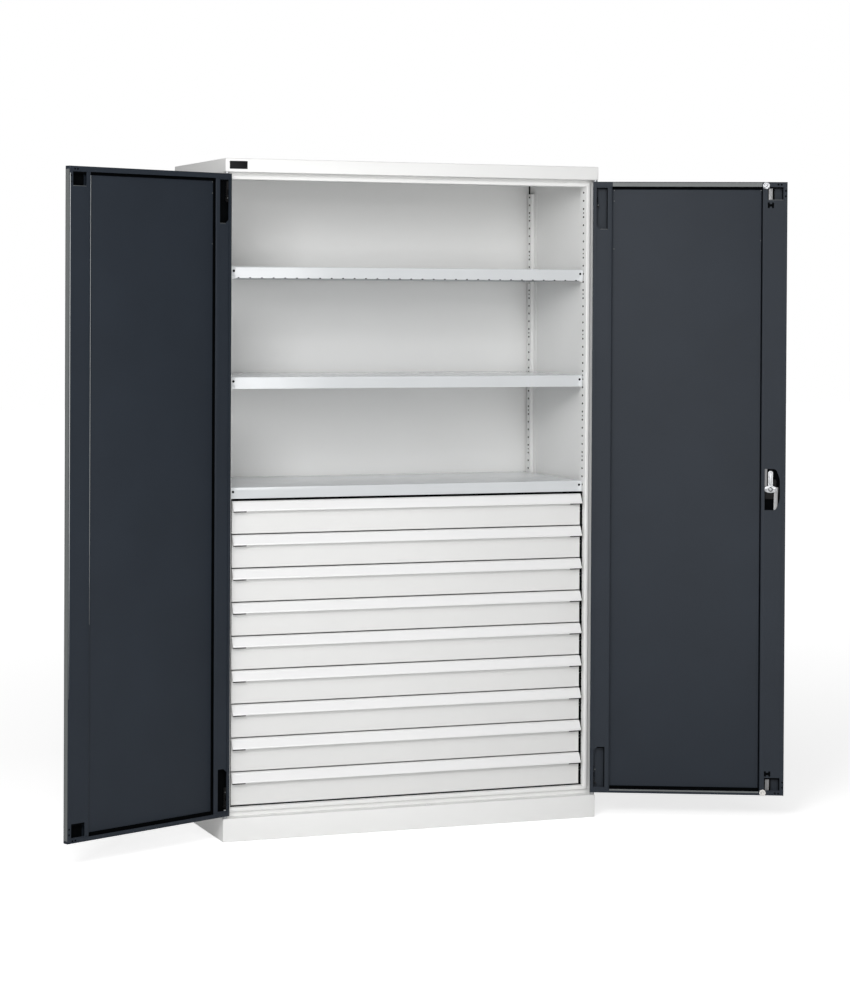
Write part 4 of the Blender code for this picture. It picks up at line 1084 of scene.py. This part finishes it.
def spring(low, high):
    """The sleeve, the coils round it and the lever."""
    sleeve = drum("sleeve", (0, SLEEVE_DEPTH, (low + high) / 2), SLEEVE_RADIUS, high - low, "Z", 20)
    parts = [soften(sleeve, 0.0005)]
    for step in range(COIL_COUNT):
        centre = (0, SLEEVE_DEPTH, low + COIL_START + step * COIL_STEP)
        parts.append(soften(drum("coil", centre, COIL_RADIUS, COIL_THICK, "Z", 20), 0.0009))
    lever = bar("lever", (-0.004, 0.004, low + 0.004), (-0.012, 0.0105, low + 0.009))
    parts.append(soften(lever, 0.0008))
    return join(parts)


def hinge_fittings():
    """The spring, the coil ends in the finish of a painted highlight, the pin's hole as a disc of painted
    shade, and a strip of painted shade for each sprung pivot, seen through the hinge windows, and the pins.
    """
    for side in ("left", "right"):
        body = f"{side}_door"
        for place, low, high, end, way in PIVOTS:
            fitting = spring(low, high)
            fitting.name = f"{place}_{side}_pivot_spring"
            done(hang(fitting, side), body, "black_plastic")
            # Coil ends, real parts given the lighter finish of a painted highlight
            spots = [(-across, COIL_END_DEPTH, end - way * drop) for across, drop in COIL_ENDS]
            ends = join([dome("coil_end", spot, 0.0017, 0.0009, 14) for spot in spots])
            ends.name = f"{place}_{side}_pivot_coil_ends"
            done(hang(ends, side), body, "lit_edge")
            # A disc of painted shade for the pin's hole
            hole = soften(drum("pin_hole", (-0.0018, 0.0124, end), PIN_HOLE_RADIUS, 0.0008, "Y", 16), 0.0002)
            hole.name = f"{place}_{side}_pivot_hole"
            done(hang(hole, side), body, "gap")
            shade_low = (-0.0046, 0.0100, end - way * 0.014)
            shade_high = (-0.0072, 0.0112, end - way * 0.030)
            thin_strip(f"{place}_{side}_pivot_shade", shade_low, shade_high, body, side)
    for node in PINS:
        softened(node, f"{node}_turned", "carcass", "bright_steel", 0.0004)


# The side walls' front corners lie at one of these distances from the front plane
SIDE_FRONTS = (0.0355, 0.0358, 0.0360)
SIDE_FOLD = 0.002


def on_corner(point):
    """Whether a point is on an upright outer corner of a side wall."""
    fronts = [FRONT + distance for distance in SIDE_FRONTS]
    return near(abs(point.x), HALF_WIDTH) and near(point.y, *fronts, HALF_DEPTH)


def plain_panels():
    """The cap's plate and the side walls, which keep their plain shape."""
    softened("label_plate", "bare_plate", "carcass", "black_plastic", 0.0003)
    for _, side in SIDES:
        piece = cad_copy(f"{side}_side", f"{side}_side_folded")
        round_folds(piece, lambda a, b: both(on_corner)(a, b) and near(a.y, b.y), SIDE_FOLD)
        done(piece, "carcass", "white_paint", f"{side}_side")


front_frame()
shade_round_drawers()
shelves()
drawers()
doors()
door_gaps()
lock()
discs()
hinge_fittings()
plain_panels()


# The floor's glow for the camera, from near the cabinet to far from it
FLOOR_SIZE = 60.0
FLOOR_GLOW = (1.6, 7.0, 0.62, 0.86)
FLOOR_BOUNCE = (0.8, 0.8, 0.8, 1)
FLOOR_SEEN = (0.92, 0.92, 0.92, 1)
WHITE = (1, 1, 1, 1)

# The camera, as solved from the view
CAMERA_PLACE = (-2.8016, -7.7772, 1.5838)
CAMERA_YAW = -20.68
CAMERA_PITCH = -0.78
CAMERA_ROLL = 0.29
CAMERA_LENS = 96.25
CAMERA_SENSOR = 36.0
CAMERA_SHIFT = -0.1618


def floor():
    """A plain floor that takes the cabinet's shadow and looks nearly white to the camera."""
    deselect()
    bpy.ops.mesh.primitive_plane_add(size=FLOOR_SIZE, location=(0, 0, 0))
    ground = bpy.context.object
    ground.name = "floor"
    paint = Finish("floor paint", roughness=0.9)
    shaders, links = paint.tree.nodes, paint.tree.links
    reach = paint.add("ShaderNodeVectorMath", {"operation": "LENGTH"}, {0: paint.place}, output="Value")
    shade = paint.spread(reach, *FLOOR_GLOW)
    glow = shaders.new("ShaderNodeEmission")
    glow.inputs["Strength"].default_value = 1.0
    links.new(shade.socket, glow.inputs["Color"])
    seen = shaders.new("ShaderNodeBsdfDiffuse")
    seen.inputs["Color"].default_value = FLOOR_SEEN
    total = shaders.new("ShaderNodeAddShader")
    links.new(glow.outputs[0], total.inputs[0])
    links.new(seen.outputs[0], total.inputs[1])
    paint.shader.inputs["Base Color"].default_value = FLOOR_BOUNCE
    for_camera(paint.tree, paint.shader, total, "Material Output")
    ground.data.materials.append(paint.material)


def for_camera(tree, others, camera_only, end):
    """Show one shader to the camera and give another to all other rays."""
    path = tree.nodes.new("ShaderNodeLightPath")
    pick = tree.nodes.new("ShaderNodeMixShader")
    tree.links.new(path.outputs["Is Camera Ray"], pick.inputs[0])
    tree.links.new(others.outputs[0], pick.inputs[1])
    tree.links.new(camera_only.outputs[0], pick.inputs[2])
    tree.links.new(pick.outputs[0], tree.nodes[end].inputs[0])


def surroundings():
    """A soft grey light from all round, seen as white by the camera."""
    world = bpy.data.worlds.new("studio")
    bpy.context.scene.world = world
    world.use_nodes = True
    tree = world.node_tree
    back = tree.nodes["Background"]
    back.inputs["Color"].default_value = WHITE
    back.inputs["Strength"].default_value = WORLD_LIGHT
    white = tree.nodes.new("ShaderNodeBackground")
    white.inputs["Strength"].default_value = 1.0
    white.inputs["Color"].default_value = WHITE
    for_camera(tree, back, white, "World Output")


def lamps():
    """The soft boxes, each turned to its aim."""
    for name, place, aim, wide, tall, power in LAMPS:
        lamp = bpy.data.lights.new(name, "AREA")
        lamp.shape = "RECTANGLE"
        lamp.size = wide
        lamp.size_y = tall
        lamp.energy = power
        holder = bpy.data.objects.new(name, lamp)
        bpy.context.collection.objects.link(holder)
        holder.location = place
        look = Vector(aim) - holder.location
        holder.rotation_euler = look.to_track_quat("-Z", "Y").to_euler()


def camera():
    """The camera at its solved place."""
    view = bpy.data.cameras.new("camera")
    view.lens = CAMERA_LENS
    view.sensor_width = CAMERA_SENSOR
    view.shift_y = CAMERA_SHIFT
    holder = bpy.data.objects.new("camera", view)
    bpy.context.collection.objects.link(holder)
    yaw, pitch, roll = math.radians(CAMERA_YAW), math.radians(CAMERA_PITCH), math.radians(CAMERA_ROLL)
    ahead = Vector((-math.sin(yaw) * math.cos(pitch), math.cos(yaw) * math.cos(pitch), math.sin(pitch)))
    right = Vector((math.cos(yaw), math.sin(yaw), 0))
    up = right.cross(ahead)
    turned_right = right * math.cos(roll) + up * math.sin(roll)
    turned_up = up * math.cos(roll) - right * math.sin(roll)
    turn = Matrix((turned_right, turned_up, -ahead)).transposed().to_4x4()
    holder.matrix_world = Matrix.Translation(CAMERA_PLACE) @ turn
    bpy.context.scene.camera = holder
    bpy.context.scene.view_settings.view_transform = "Standard"


floor()
surroundings()
lamps()
camera()
